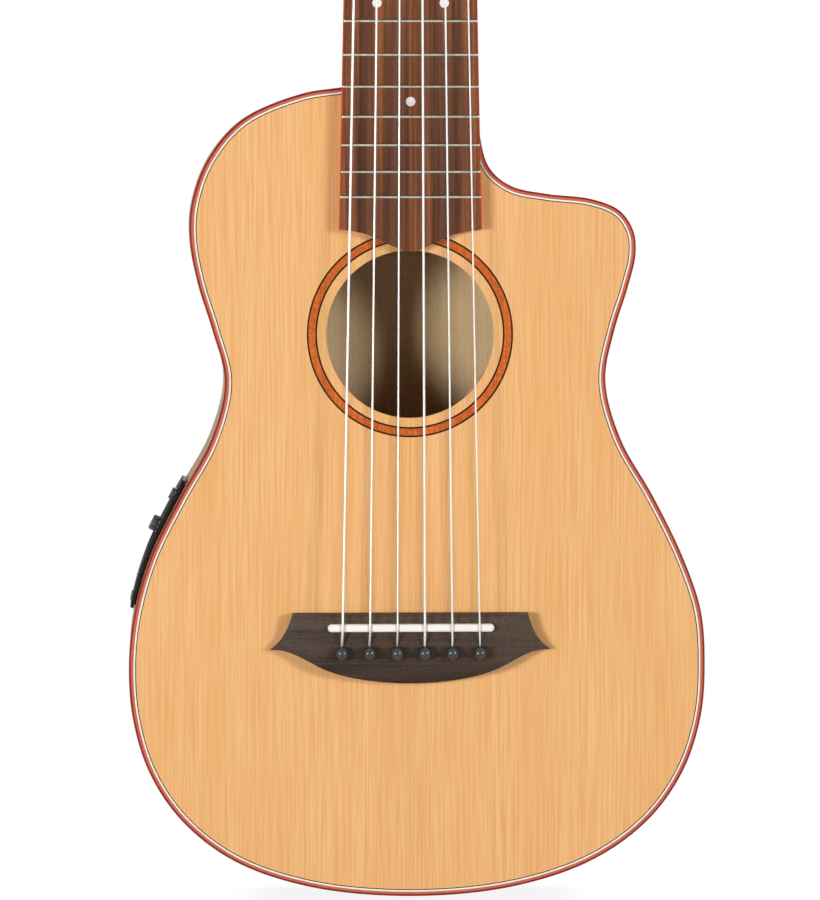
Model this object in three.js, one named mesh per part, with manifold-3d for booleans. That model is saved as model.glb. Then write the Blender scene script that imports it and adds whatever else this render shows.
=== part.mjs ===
// A small six-string travel guitar with a cutaway, nylon strings and a pickup with its own preamp.
// Millimetres, +Z up. The origin is on the centreline, at the nut, in the plane of the soundboard's
// face. +Z runs up the headstock, the soundboard faces -Y and the treble side is at +X.

import * as THREE from 'three';
import { mergeVertices } from 'three/addons/utils/BufferGeometryUtils.js';
import Module from 'manifold-3d';

const wasm = await Module();
wasm.setup();

// Driving dimensions, in millimetres unless the name says otherwise.

// Strings and scale.
const scaleLength = 510;
const saddleCompensation = 3.2;
const stringCount = 6;
const stringDiameters = [1.1, 0.9, 0.76, 1.02, 0.82, 0.72];
const stringSpreadAtNut = 39.6;
const stringSpreadAtSaddle = 58.4;
const stringHeightAtNut = 1.6;
const stringHeightAtOctave = 3;
const stringTurns = 2;
const stringTurnGap = 0.5;

// Box.
const bodyLength = 346.8;
const lowerBoutWidth = 247;
const depthAtTail = 72;
const depthAtNeck = 62;
const topThickness = 2.6;
const backThickness = 2.4;
const sideThickness = 2;
const bindingDepth = 6;
const purflingWidth = 1.1;
const purflingDepth = 1.4;
const liningWidth = 5;
const liningDepth = 9;
const glueLine = 0.1;

// Soundhole and rosette.
const soundholeRadius = 35.8;
const pointOverHole = 0.4;
const rosetteInnerRadius = 39.7;
const rosetteOuterRadius = 44.1;
const rosetteDepth = 1.2;

// Neck, fretboard and nut.
const bodyFret = 14;
const fretCount = 18;
const nutWidth = 47;
const nutThickness = 5;
const nutSlotDepth = 0.8;
const boardWidthAtLastFret = 60.1;
const boardThickness = 6;
const boardBeyondLastFret = 13.8;
const boardPointLength = 9.4;
const fretWidth = 1.6;
const fretHeight = 1;
const fretTang = 1.2;
const neckDepthAtNut = 14;
const neckDepthAtBody = 17;
const heelLength = 50;
const heelDepth = 60;
const heelFootWidth = 30;
const rodWidth = 6;
const rodDepth = 9;
const rodEndAboveBox = 6.8;
const rodStart = 14;

// Headstock.
const headLength = 134;
const headWidth = 74;
const headThickness = 14;
const voluteLength = 12;
const voluteSwell = 0.8;
const voluteFlare = 1.5;
const voluteReach = 9.4;
const headTiltDegrees = 12;
const veneerThickness = 1.6;

// Bridge, saddle and pins.
const bridgeWidth = 120.2;
const bridgeLength = 30.1;
const bridgeHeight = 9;
const bridgeTipHeight = 4;
const bridgeLead = 5.8;
const bridgeChamfer = 1.6;
const saddleLength = 71;
const saddleThickness = 3.4;
const saddleSlotDepth = 5;
const pickupThickness = 1;
const pinSpread = 59;
const pinDrop = 10.8;
const pinHeadRadius = 3;
const pinHeadSteps = 5;
const pinShankRadius = 2.1;
const pinTipRadius = 1.8;
const pinLength = 14;
const pinHoleRadius = 2.5;
const pinFlute = 0.7;
const stringSlotWidth = 1.8;
const stringSlotReach = 4.1;
const stringSlotDepth = 4.6;

// Bracing and blocks.
const braceWidth = 8;
const braceHeight = 9;
const braceAngleDegrees = 38;
const braceCrossAboveSaddle = 61.18;
const transverseBraceBelowTop = 51.2;
const bridgePlateWidth = 88;
const bridgePlateLength = 34;
const bridgePlateThickness = 2.2;
const neckBlockWidth = 52;
const neckBlockLength = 30;
const tailBlockWidth = 60;
const tailBlockLength = 18;

// Tuning machines.
const tunerSpacing = 38;
const tunerStart = 32;
const tunerSetback = 14;
const tunerPlateThickness = 1.2;
const tunerPlateWidth = 19;
const tunerPlateMargin = 15;
const gearTeeth = 14;
const gearModule = 0.8;
const gearThickness = 4;
const toothAddendum = 0.55;
const toothDedendum = 0.85;
const toothBacklash = 0.4;
const toothFlankDegrees = 20;
const wormPitchRadius = 2.4;
const wormLength = 7;
const wormShaftRadius = 1.3;
const meshSlack = 0.1;
const postRadius = 3;
const postHeight = 12;
const windingStart = 7;
const postHubRadius = 3.8;
const earThickness = 1.6;
const earWidth = 5.6;
const earSpread = 12;
const buttonReach = 5;
const buttonLength = 11;
const buttonWidth = 15;
const buttonThickness = 7;

// Preamp, battery and jack.
const panelLength = 59.6;
const panelWidth = 43;
const panelThickness = 1.8;
const panelCornerRadius = 5;
const panelBelowTop = 195.6;
const panelDepthPlace = 33;
const housingLength = 56;
const housingWidth = 37;
const housingDepth = 22;
const batteryLength = 48.5;
const batteryWidth = 26.5;
const batteryThickness = 16.5;
const doorThickness = 1.2;
const doorMargin = 1.4;
const knobPitchFromEdge = 6.7;
const volumeKnobRadius = 3.5;
const volumeKnobHeight = 3.2;
const volumeKnobDrop = 22.2;
const toneKnobRadius = 2.7;
const toneKnobHeight = 1.6;
const toneKnobDrop = 7.6;
const knobShaftRadius = 1.2;
const knobShaftLength = 6;
const pushButtonSize = 4.4;
const pushButtonHeight = 0.8;
const pushButtonDrop = 54;
const pushButtonStem = 4;
const jackFlangeRadius = 9;
const jackFlangeThickness = 2.6;
const jackBarrelRadius = 6;
const jackBarrelLength = 34;
const jackBoreRadius = 3.2;
const jackBoreLength = 30;
const strapBaseRadius = 5.5;
const strapWaistRadius = 3.2;
const strapHeadRadius = 6.6;
const strapHeight = 12;
const strapScrewRadius = 1.9;
const strapScrewLength = 16;

// Fits.
const clearance = 0.3;
const overrun = 1;

// Facets round a full circle.
const roundFacets = 40;
const turnedFacets = 16;
const smallFacets = 12;
const shaftFacets = 6;
const stringFacets = 6;
const turnFacets = 12;

// Outline of the box from the neck's bass edge round the tail to the cutaway corner:
// x as a share of the lower bout's width, z as a share of the body's length below its top edge.
const outlineShares = [
  [-0.112, 0.000], [-0.189, 0.009], [-0.289, 0.040], [-0.348, 0.088], [-0.377, 0.144],
  [-0.380, 0.189], [-0.366, 0.243], [-0.342, 0.298], [-0.320, 0.362], [-0.343, 0.433],
  [-0.399, 0.506], [-0.450, 0.580], [-0.479, 0.654], [-0.487, 0.717], [-0.480, 0.779],
  [-0.452, 0.845], [-0.396, 0.905], [-0.306, 0.955], [-0.173, 0.988], [0.006, 1.000],
  [0.184, 0.988], [0.321, 0.955], [0.417, 0.905], [0.476, 0.845], [0.506, 0.779],
  [0.513, 0.717], [0.506, 0.647], [0.474, 0.580], [0.423, 0.506], [0.365, 0.433],
  [0.339, 0.362], [0.354, 0.301], [0.378, 0.246], [0.391, 0.206], [0.387, 0.177],
  [0.363, 0.152], [0.316, 0.138], [0.235, 0.131], [0.176, 0.122], [0.139, 0.101],
  [0.123, 0.068], [0.118, 0.000],
];
const outlineStepsPerPoint = 2;

// Ogee end of the fretboard: points of half its outline, as shares of half its width and of the point.
const boardPointShares = {
  shoulder: [[0.72, 0.10], [0.55, 0.25], [0.42, 0.50]],
  hollow: [[0.32, 0.70], [0.20, 0.80], [0.14, 0.93]],
  tip: [[0.10, 1.00], [0.04, 1.00], [0.00, 1.00]],
};

// Half of the bridge's outline, as shares of its width and of its length.
const bridgeShares = {
  topCorner: [0.418, 0],
  wing: [[0.436, 0.28], [0.462, 0.42], [0.499, 0.52]],
  underWing: [[0.440, 0.50], [0.410, 0.58], [0.330, 0.745]],
  belly: [[0.250, 0.92], [0.120, 1.00], [0.000, 1.00]],
};
const bridgeFlatShare = 0.31;

// Heel: distance from the box as a share of its length, and how far it has fallen as a share of its depth.
const heelShares = [
  [0.30, 1.06], [0.36, 0.86], [0.44, 0.58], [0.55, 0.34], [0.70, 0.15], [0.85, 0.05], [1, 0],
];

// Headstock, half of its outline from the nut up: shares of half its width and of its length.
const headCurveShares = {
  flare: [[0.66, 0.06], [0.82, 0.07], [0.87, 0.14]],
  side: [[0.92, 0.30], [0.97, 0.65], [1.00, 0.92]],
  crown: [[0.92, 1.01], [0.35, 1.01], [0.00, 0.965]],
};

// Places worked out from the driving dimensions.
const fretDrop = (fret) => scaleLength * (1 - 2 ** (-fret / 12));
const bodyTop = -fretDrop(bodyFret);
const bodyBottom = bodyTop - bodyLength;
const saddleZ = -(scaleLength + saddleCompensation);
const pinZ = saddleZ - pinDrop;
const boardLength = fretDrop(fretCount) + boardBeyondLastFret + boardPointLength;
const soundholeDrop = boardLength + soundholeRadius - pointOverHole;
const boardWidthAt = (z) => nutWidth - (boardWidthAtLastFret - nutWidth) * (z / fretDrop(fretCount));
const stringRiseAt = (z) => {
  const slope = (stringHeightAtOctave - stringHeightAtNut + fretHeight) / fretDrop(12);
  return boardThickness + stringHeightAtNut - slope * z;
};
const rodLength = -bodyTop - rodStart - rodEndAboveBox;
const headTilt = THREE.MathUtils.degToRad(headTiltDegrees);
const stringPlace = (index, spread) => (index / (stringCount - 1) - 0.5) * spread;

// Finishes: colour, roughness and metalness of each material.
const finishes = {
  cedar: [0xefb97a, 0.45, 0],
  rosewood: [0x5a3a2b, 0.5, 0],
  ebony: [0x2b2625, 0.45, 0],
  redwood: [0xb8502f, 0.35, 0],
  mahogany: [0x8a4a2c, 0.4, 0],
  tanwood: [0xb69a6e, 0.4, 0],
  palewood: [0xcdb496, 0.55, 0],
  purfling: [0xe9e2d3, 0.5, 0],
  rosette: [0xd06a30, 0.45, 0],
  bone: [0xf3eee2, 0.4, 0],
  nylon: [0xf2f2ee, 0.3, 0],
  blackPlastic: [0x1b1b1c, 0.4, 0],
  steel: [0xc9c9c6, 0.3, 1],
  brass: [0xc29a4a, 0.35, 1],
  pearl: [0xe8e4d8, 0.3, 0],
  battery: [0x3c4a5e, 0.4, 0],
};

const guitar = new THREE.Group();

// Adds a named mesh made from a geometry or a solid to the guitar or to one of its groups.
function addPiece(name, shape, finish, parent = guitar) {
  const [color, roughness, metalness] = finishes[finish];
  const material = new THREE.MeshStandardMaterial({ color, roughness, metalness });
  const geometry = shape.isBufferGeometry ? shape : geometryOf(shape);
  const mesh = new THREE.Mesh(geometry, material);
  mesh.name = name;
  parent.add(mesh);
  return mesh;
}

// Turns a closed geometry into a solid that can be cut and joined.
function solidOf(geometry) {
  const bare = geometry.clone();
  bare.deleteAttribute('normal');
  bare.deleteAttribute('uv');
  const merged = mergeVertices(bare);
  return new wasm.Manifold(new wasm.Mesh({
    numProp: 3,
    vertProperties: merged.attributes.position.array,
    triVerts: new Uint32Array(merged.index.array),
  }));
}

// Turns a solid back into a geometry.
function geometryOf(solid) {
  const mesh = solid.getMesh();
  const geometry = new THREE.BufferGeometry();
  geometry.setAttribute('position', new THREE.BufferAttribute(new Float32Array(mesh.vertProperties), 3));
  geometry.setIndex(new THREE.BufferAttribute(new Uint32Array(mesh.triVerts), 1));
  geometry.computeVertexNormals();
  return geometry;
}

const join = (first, ...others) => others.reduce((sum, next) => sum.add(next), first);
const cut = (first, ...others) => others.reduce((rest, next) => rest.subtract(next), first);

// A plate with an outline in x and z, from yFront to yBack.
function slab(outline, yFront, yBack, holes = []) {
  const shape = new THREE.Shape(outline);
  shape.holes = holes.map((hole) => new THREE.Path(hole));
  const geometry = new THREE.ExtrudeGeometry(shape, { depth: yBack - yFront, bevelEnabled: false });
  geometry.rotateX(Math.PI / 2);
  geometry.translate(0, yBack, 0);
  return geometry;
}

// A bar with a section in z and y, from xFrom to xTo.
function bar(section, xFrom, xTo) {
  const shape = new THREE.Shape(section.map(([z, y]) => new THREE.Vector2(-z, y)));
  const geometry = new THREE.ExtrudeGeometry(shape, { depth: xTo - xFrom, bevelEnabled: false });
  geometry.rotateY(Math.PI / 2);
  geometry.translate(xFrom, 0, 0);
  return geometry;
}

// A box between two corners.
function block(xFrom, xTo, yFrom, yTo, zFrom, zTo) {
  const geometry = new THREE.BoxGeometry(xTo - xFrom, yTo - yFrom, zTo - zFrom);
  geometry.translate((xFrom + xTo) / 2, (yFrom + yTo) / 2, (zFrom + zTo) / 2);
  return geometry;
}

// A round rod along Y.
function rodAlongY(radius, yFrom, yTo, x = 0, z = 0, facets = smallFacets) {
  const geometry = new THREE.CylinderGeometry(radius, radius, yTo - yFrom, facets);
  geometry.translate(x, (yFrom + yTo) / 2, z);
  return geometry;
}

// A round rod along X.
function rodAlongX(radius, xFrom, xTo, facets = smallFacets) {
  const geometry = new THREE.CylinderGeometry(radius, radius, xTo - xFrom, facets);
  geometry.rotateZ(Math.PI / 2);
  geometry.translate((xFrom + xTo) / 2, 0, 0);
  return geometry;
}

// A turned piece about the Y axis; its profile is a list of radius and y, from one end to the other.
function turned(profile, facets = smallFacets) {
  return new THREE.LatheGeometry(profile.map(([radius, y]) => new THREE.Vector2(radius, y)), facets);
}

function circle(radius, facets, x = 0, z = 0) {
  return Array.from({ length: facets }, (_, step) => {
    const angle = (step / facets) * 2 * Math.PI;
    return new THREE.Vector2(x + radius * Math.cos(angle), z + radius * Math.sin(angle));
  });
}

// Moves every edge of a closed outline inwards. An edge that would turn round is dropped.
function inset(outline, distance) {
  let edges = outline.map((point, index) => {
    const next = outline[(index + 1) % outline.length];
    const along = next.clone().sub(point).normalize();
    const inward = new THREE.Vector2(-along.y, along.x).multiplyScalar(distance);
    return { start: point.clone().add(inward), along };
  });
  const corner = (first, second) => {
    const turn = first.along.cross(second.along);
    if (Math.abs(turn) < 1e-6) {
      return second.start.clone();
    }
    const reach = second.start.clone().sub(first.start).cross(second.along) / turn;
    return first.start.clone().addScaledVector(first.along, reach);
  };
  for (let dropped = true; dropped;) {
    const corners = edges.map((edge, index) => corner(edges.at(index - 1), edge));
    const kept = edges.filter((edge, index) => {
      const next = corners[(index + 1) % corners.length];
      return next.clone().sub(corners[index]).dot(edge.along) > 0;
    });
    dropped = kept.length < edges.length;
    if (!dropped) {
      return corners;
    }
    edges = kept;
  }
  return [];
}

// Joins rings of points, each with as many points, into one closed skin with flat ends.
function loft(rings) {
  const count = rings[0].length;
  const positions = rings.flat().flatMap((point) => point.toArray());
  const index = [];
  for (let ring = 0; ring < rings.length - 1; ring += 1) {
    for (let side = 0; side < count; side += 1) {
      const a = ring * count + side;
      const b = ring * count + ((side + 1) % count);
      index.push(a, b, b + count, a, b + count, a + count);
    }
  }
  for (let side = 1; side < count - 1; side += 1) {
    const last = (rings.length - 1) * count;
    index.push(0, side + 1, side);
    index.push(last, last + side, last + side + 1);
  }
  const geometry = new THREE.BufferGeometry();
  geometry.setAttribute('position', new THREE.Float32BufferAttribute(positions, 3));
  geometry.setIndex(index);
  return geometry;
}

// Mirrors a geometry in x and turns its faces out again.
function mirrored(geometry) {
  const copy = geometry.index ? geometry.toNonIndexed() : geometry.clone();
  copy.scale(-1, 1, 1);
  const place = copy.attributes.position;
  for (let corner = 0; corner < place.count; corner += 3) {
    const second = new THREE.Vector3().fromBufferAttribute(place, corner + 1);
    const third = new THREE.Vector3().fromBufferAttribute(place, corner + 2);
    place.setXYZ(corner + 1, ...third.toArray());
    place.setXYZ(corner + 2, ...second.toArray());
  }
  copy.deleteAttribute('uv');
  copy.computeVertexNormals();
  return copy;
}

// The curve through the outline's points, closed by the straight edge where the neck meets the box.
function bodyOutline() {
  const points = outlineShares.map(([across, down]) => (
    new THREE.Vector3(across * lowerBoutWidth, bodyTop - down * bodyLength, 0)
  ));
  const curve = new THREE.CatmullRomCurve3(points, false, 'centripetal');
  const count = (points.length - 1) * outlineStepsPerPoint;
  return Array.from({ length: count + 1 }, (_, step) => {
    const point = curve.getPoint(step / count);
    return new THREE.Vector2(point.x, point.y);
  });
}

const outline = bodyOutline();
const insideBinding = inset(outline, sideThickness);
const insidePurfling = inset(outline, sideThickness + purflingWidth);
const insideLining = inset(outline, sideThickness + liningWidth);
const insideLiningFree = inset(outline, sideThickness + liningWidth + clearance);
const insideSidesFree = inset(outline, sideThickness + glueLine);

// The back leans in towards the neck, so the box is deepest at the tail.
const leanFrom = topThickness + liningDepth;
const leanTo = depthAtTail - bindingDepth - glueLine;
const leanSlope = (depthAtTail - depthAtNeck) / bodyLength;
function leaned(geometry) {
  const copy = geometry.clone();
  const place = copy.attributes.position;
  for (let corner = 0; corner < place.count; corner += 1) {
    const y = place.getY(corner);
    const shareOfLean = THREE.MathUtils.clamp((y - leanFrom) / (leanTo - leanFrom), 0, 1);
    const lean = leanSlope * (place.getZ(corner) - bodyBottom) * shareOfLean;
    place.setY(corner, y - lean);
  }
  return copy;
}

// Box: soundboard, rosette, purfling, bindings, sides, back, linings, blocks and braces.

const holeAt = (radius, facets = roundFacets) => circle(radius, facets, 0, -soundholeDrop);
const rosetteGroove = slab(holeAt(rosetteOuterRadius), -overrun, rosetteDepth, [holeAt(rosetteInnerRadius)]);
const pinHoles = Array.from({ length: stringCount }, (_, index) => (
  solidOf(rodAlongY(pinHoleRadius, -bridgeHeight - overrun, pinLength, stringPlace(index, pinSpread), pinZ))
));
const purflingLedge = slab(inset(outline, -overrun), -overrun, purflingDepth, [insidePurfling]);

addPiece('soundboard', cut(
  solidOf(slab(insideBinding, 0, topThickness)),
  solidOf(purflingLedge),
  solidOf(slab(holeAt(soundholeRadius), -overrun, topThickness + overrun)),
  solidOf(rosetteGroove),
  ...pinHoles,
), 'cedar');
const rosette = slab(holeAt(rosetteOuterRadius), 0, rosetteDepth, [holeAt(rosetteInnerRadius)]);
addPiece('rosette', rosette, 'rosette');
addPiece('top_purfling', slab(insideBinding, 0, purflingDepth, [insidePurfling]), 'purfling');
addPiece('top_binding', slab(outline, 0, bindingDepth, [insideBinding]), 'redwood');
const backBinding = slab(outline, depthAtTail - bindingDepth, depthAtTail, [insideBinding]);
addPiece('back_binding', leaned(backBinding), 'redwood');
addPiece('back_plate', leaned(slab(insideBinding, depthAtTail - backThickness, depthAtTail)), 'tanwood');

const backFace = depthAtTail - backThickness - glueLine;
const topLining = slab(insideBinding, topThickness, topThickness + liningDepth, [insideLining]);
const backLining = slab(insideBinding, backFace - liningDepth, backFace, [insideLining]);
addPiece('top_lining', topLining, 'palewood');
addPiece('back_lining', leaned(backLining), 'palewood');

// The part of the box inside the linings, for what is fitted between them.
const roomBetweenLinings = solidOf(slab(insideLiningFree, -overrun, depthAtTail + overrun));
const roomInSides = solidOf(slab(insideSidesFree, -overrun, depthAtTail + overrun));

// A block glued between the sides, rebated where the linings pass it.
function boxBlock(width, zFrom, zTo) {
  const middle = leanFrom + clearance;
  const backMiddle = backFace - liningDepth - clearance;
  const whole = solidOf(block(-width / 2, width / 2, topThickness, backFace, zFrom, zTo));
  const waist = solidOf(block(-width / 2, width / 2, middle, backMiddle, zFrom, zTo));
  return join(roomBetweenLinings.intersect(whole), roomInSides.intersect(waist));
}

const neckBlock = boxBlock(neckBlockWidth, bodyTop - neckBlockLength, bodyTop);
addPiece('neck_block', leaned(geometryOf(neckBlock)), 'mahogany');

// Jack: a flanged barrel in the tail, with the socket's bore.
const jackY = depthAtTail / 2;
const jackHole = new THREE.CylinderGeometry(
  jackBarrelRadius + clearance, jackBarrelRadius + clearance, 2 * jackBarrelLength, smallFacets,
);
jackHole.rotateX(Math.PI / 2);
jackHole.translate(0, jackY, bodyBottom);
const tailBlock = boxBlock(tailBlockWidth, bodyBottom, bodyBottom + tailBlockLength);
addPiece('tail_block', cut(solidOf(leaned(geometryOf(tailBlock))), solidOf(jackHole)), 'mahogany');

const jackProfile = [
  [0, jackBarrelLength], [jackBarrelRadius, jackBarrelLength], [jackBarrelRadius, 0],
  [jackFlangeRadius, 0], [jackFlangeRadius, -jackFlangeThickness * 0.6],
  [jackFlangeRadius * 0.9, -jackFlangeThickness], [jackBoreRadius, -jackFlangeThickness],
  [jackBoreRadius, jackBoreLength - jackFlangeThickness], [0, jackBoreLength - jackFlangeThickness],
];
const jack = turned(jackProfile.reverse(), turnedFacets);
jack.rotateX(Math.PI / 2);
addPiece('output_jack', jack, 'steel').position.set(0, jackY, bodyBottom - clearance);

// Braces, cut to length by the linings.
const braceFront = topThickness;
const braceShoulderShare = 0.55;
const braceCrownShare = 0.35;
function braceSection(height) {
  const half = braceWidth / 2;
  const shoulder = height * braceShoulderShare;
  const crown = half * braceCrownShare;
  return [[-half, 0], [half, 0], [half, shoulder], [crown, height], [-crown, height], [-half, shoulder]];
}
const crossBar = (z, height) => (
  solidOf(bar(braceSection(height), -lowerBoutWidth, lowerBoutWidth).translate(0, braceFront, z))
);
const transverseBar = crossBar(bodyTop - transverseBraceBelowTop, braceHeight);
addPiece('upper_transverse_brace', roomBetweenLinings.intersect(transverseBar), 'palewood');

// Two crossed bars; each runs from the upper bout on one side to the lower bout on the other.
const crossShares = { above: 0.385, below: 0.625 };
function crossBrace(width) {
  const section = braceSection(braceHeight).map(([z, y]) => [(z * width) / braceWidth, y]);
  const bass = bar(section, -bodyLength * crossShares.above, bodyLength * crossShares.below);
  bass.rotateY(Math.PI / 2 - THREE.MathUtils.degToRad(braceAngleDegrees));
  bass.translate(0, braceFront, saddleZ + braceCrossAboveSaddle);
  return join(solidOf(bass), solidOf(mirrored(bass)));
}
addPiece('x_brace', roomBetweenLinings.intersect(crossBrace(braceWidth)), 'palewood');

const bridgePlateZ = saddleZ - bridgeLength / 3;
const bridgePlate = solidOf(block(
  -bridgePlateWidth / 2, bridgePlateWidth / 2, topThickness, topThickness + bridgePlateThickness,
  bridgePlateZ - bridgePlateLength / 2, bridgePlateZ + bridgePlateLength / 2,
));
addPiece('bridge_plate', cut(bridgePlate, crossBrace(braceWidth + 2 * clearance), ...pinHoles), 'mahogany');

const backBraceShares = [0.2, 0.48, 0.76];
backBraceShares.forEach((share, index) => {
  const section = braceSection(braceHeight).map(([z, y]) => [z, -y]).reverse();
  const brace = bar(section, -lowerBoutWidth, lowerBoutWidth);
  brace.translate(0, backFace, bodyTop - share * bodyLength);
  const fitted = roomBetweenLinings.intersect(solidOf(brace));
  addPiece(`back_brace_${index + 1}`, leaned(geometryOf(fitted)), 'palewood');
});

// Neck: a lofted shaft that runs out into the heel, with the headstock tilted back behind the nut.

// Points of a curve that runs on from a start through cubic pieces, each given by three points.
function curvePoints(start, pieces, place, steps = 4) {
  const points = [place(start)];
  let from = start;
  pieces.forEach(([first, second, end]) => {
    const curve = new THREE.CubicBezierCurve(...[from, first, second, end].map(place));
    points.push(...curve.getPoints(steps).slice(1));
    from = end;
  });
  return points;
}

// Completes half an outline, listed at +X from one end on the centreline to the other, with its mirror.
function bothHalves(half) {
  const other = half.filter((point) => point.x > 0).map((point) => new THREE.Vector2(-point.x, point.y));
  return [...half, ...other.reverse()];
}

// A section of the neck: flat in front and round behind, narrower at the back by the foot's share.
const ringPoints = 11;
function neckRing(z, front, width, depth, footShare, roundness) {
  return Array.from({ length: ringPoints }, (_, step) => {
    const angle = (Math.PI * step) / (ringPoints - 1);
    const out = Math.sign(Math.cos(angle)) * Math.abs(Math.cos(angle)) ** roundness;
    const back = Math.abs(Math.sin(angle)) ** roundness;
    const taper = 1 - footShare * back;
    return new THREE.Vector3((width / 2) * out * taper, front + (depth - front) * back, z);
  });
}

const shaftDepthAt = (z) => (
  neckDepthAtNut + ((neckDepthAtBody - neckDepthAtNut) * z) / bodyTop
);
function shaftRing(z, fallShare = 0) {
  const width = boardWidthAt(z);
  const depth = shaftDepthAt(z) + (heelDepth - shaftDepthAt(z)) * fallShare;
  const footShare = Math.min(fallShare, 1) * (1 - heelFootWidth / width);
  return neckRing(z, 0, width, depth, footShare, 1 - 0.3 * Math.min(fallShare, 1));
}
const heelRings = heelShares.map(([lengthShare, fallShare]) => (
  shaftRing(bodyTop + lengthShare * heelLength, fallShare)
));
const shaft = loft([
  shaftRing(bodyTop, heelShares[0][1]), ...heelRings,
  shaftRing(bodyTop / 2), shaftRing(0), shaftRing(nutThickness),
]);

const head = new THREE.Group();
head.position.set(0, veneerThickness, nutThickness);
head.rotation.x = -headTilt;
head.updateMatrix();
guitar.add(head);

const headPlace = ([across, up]) => new THREE.Vector2((across * headWidth) / 2, up * headLength);
const headHalf = curvePoints(
  [nutWidth / headWidth, 0.03],
  [headCurveShares.flare, headCurveShares.side, headCurveShares.crown],
  headPlace,
);
const headOutline = bothHalves(headHalf);
const headSlab = slab(headOutline, 0, headThickness);

// The swelling behind the nut, from inside the shaft to the headstock's back.
const voluteRootShare = 0.92;
const [rootWidth, rootDepth] = [nutWidth, neckDepthAtNut].map((size) => size * voluteRootShare);
const volute = loft([
  neckRing(-voluteLength, veneerThickness, rootWidth, rootDepth, 0, 1),
  neckRing(0, veneerThickness, nutWidth, neckDepthAtNut + voluteSwell, 0, 0.8),
  neckRing(voluteReach, 0, nutWidth + voluteFlare, headThickness - glueLine, 0, 0.5)
    .map((point) => point.applyMatrix4(head.matrix)),
]);

const strapZ = bodyTop + 0.15 * heelLength;
const postPlaces = Array.from({ length: stringCount }, (_, index) => {
  const side = index < stringCount / 2 ? -1 : 1;
  const step = side < 0 ? index : stringCount - 1 - index;
  return { side, x: side * (headWidth / 2 - tunerSetback), z: tunerStart + step * tunerSpacing };
});
const postHoles = postPlaces.map(({ x, z }) => (
  rodAlongY(postRadius + clearance, -headThickness, 2 * headThickness, x, z)
));
const rodSlot = block(
  -rodWidth / 2 - glueLine, rodWidth / 2 + glueLine, -overrun, rodDepth + glueLine,
  -rodStart - rodLength - glueLine, -rodStart + glueLine,
);
const neckRoom = block(
  -headWidth, headWidth, -headLength, heelDepth, bodyTop, headLength * 2,
);
const strapScrewHole = rodAlongY(
  strapScrewRadius + clearance, heelDepth - strapScrewLength - overrun, heelDepth + overrun, 0, strapZ,
);
addPiece('neck', cut(
  join(
    solidOf(shaft).intersect(solidOf(neckRoom)), solidOf(volute),
    solidOf(headSlab.clone().applyMatrix4(head.matrix)),
  ),
  solidOf(rodSlot),
  solidOf(strapScrewHole),
  ...postHoles.map((hole) => solidOf(hole.clone().applyMatrix4(head.matrix))),
), 'mahogany');
addPiece('neck_rod', block(
  -rodWidth / 2, rodWidth / 2, 0, rodDepth, -rodStart - rodLength, -rodStart,
), 'steel');

const veneer = slab(headOutline, -veneerThickness, -glueLine);
addPiece('headstock_veneer', cut(solidOf(veneer), ...postHoles.map(solidOf)), 'rosewood', head);

addPiece('strap_button', turned([
  [0, -strapScrewLength], [strapScrewRadius, -strapScrewLength], [strapScrewRadius, 0],
  [strapBaseRadius, 0], [strapBaseRadius, 0.08 * strapHeight], [strapWaistRadius, 0.3 * strapHeight],
  [strapWaistRadius, 0.6 * strapHeight], [strapHeadRadius, 0.85 * strapHeight],
  [strapHeadRadius, 0.95 * strapHeight], [0.9 * strapHeadRadius, strapHeight], [0, strapHeight],
]), 'steel').position.set(0, heelDepth + glueLine, strapZ);

// Fretboard with its frets, and the nut.

const boardCornerZ = -(boardLength - boardPointLength);
const boardHalf = [
  new THREE.Vector2(nutWidth / 2, 0),
  ...curvePoints([1, 0], Object.values(boardPointShares), ([across, down]) => new THREE.Vector2(
    (across * boardWidthAt(boardCornerZ)) / 2,
    boardCornerZ - down * boardPointLength,
  )),
];
const fretCrownShares = [[0.5, 0], [0.3, 0.75], [0, 1], [-0.3, 0.75], [-0.5, 0]];
const frets = Array.from({ length: fretCount }, (_, index) => {
  const z = -fretDrop(index + 1);
  const half = boardWidthAt(z) / 2 - glueLine;
  const section = [
    [-fretWidth / 2, fretTang - boardThickness], [fretWidth / 2, fretTang - boardThickness],
    ...fretCrownShares.map(([across, up]) => [across * fretWidth, -boardThickness - up * fretHeight]),
  ];
  return solidOf(bar(section, -half, half).translate(0, 0, z));
});
addPiece('fretboard', join(solidOf(slab(bothHalves(boardHalf), -boardThickness, 0)), ...frets), 'rosewood');

const stringPaths = stringDiameters.map((diameter, index) => ({
  radius: diameter / 2,
  nutX: stringPlace(index, stringSpreadAtNut),
  saddleX: stringPlace(index, stringSpreadAtSaddle),
  pinX: stringPlace(index, pinSpread),
  post: postPlaces[index],
}));
const nutSlots = stringPaths.map(({ radius, nutX }) => solidOf(block(
  nutX - radius - clearance, nutX + radius + clearance,
  -stringRiseAt(0) - nutSlotDepth - overrun, -stringRiseAt(0) + clearance, -overrun, nutThickness + overrun,
)));
addPiece('nut', cut(
  solidOf(block(-nutWidth / 2, nutWidth / 2, -stringRiseAt(0) - nutSlotDepth, 0, 0, nutThickness)),
  ...nutSlots,
), 'bone');

// Bridge, saddle, pickup strip and pins.

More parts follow.
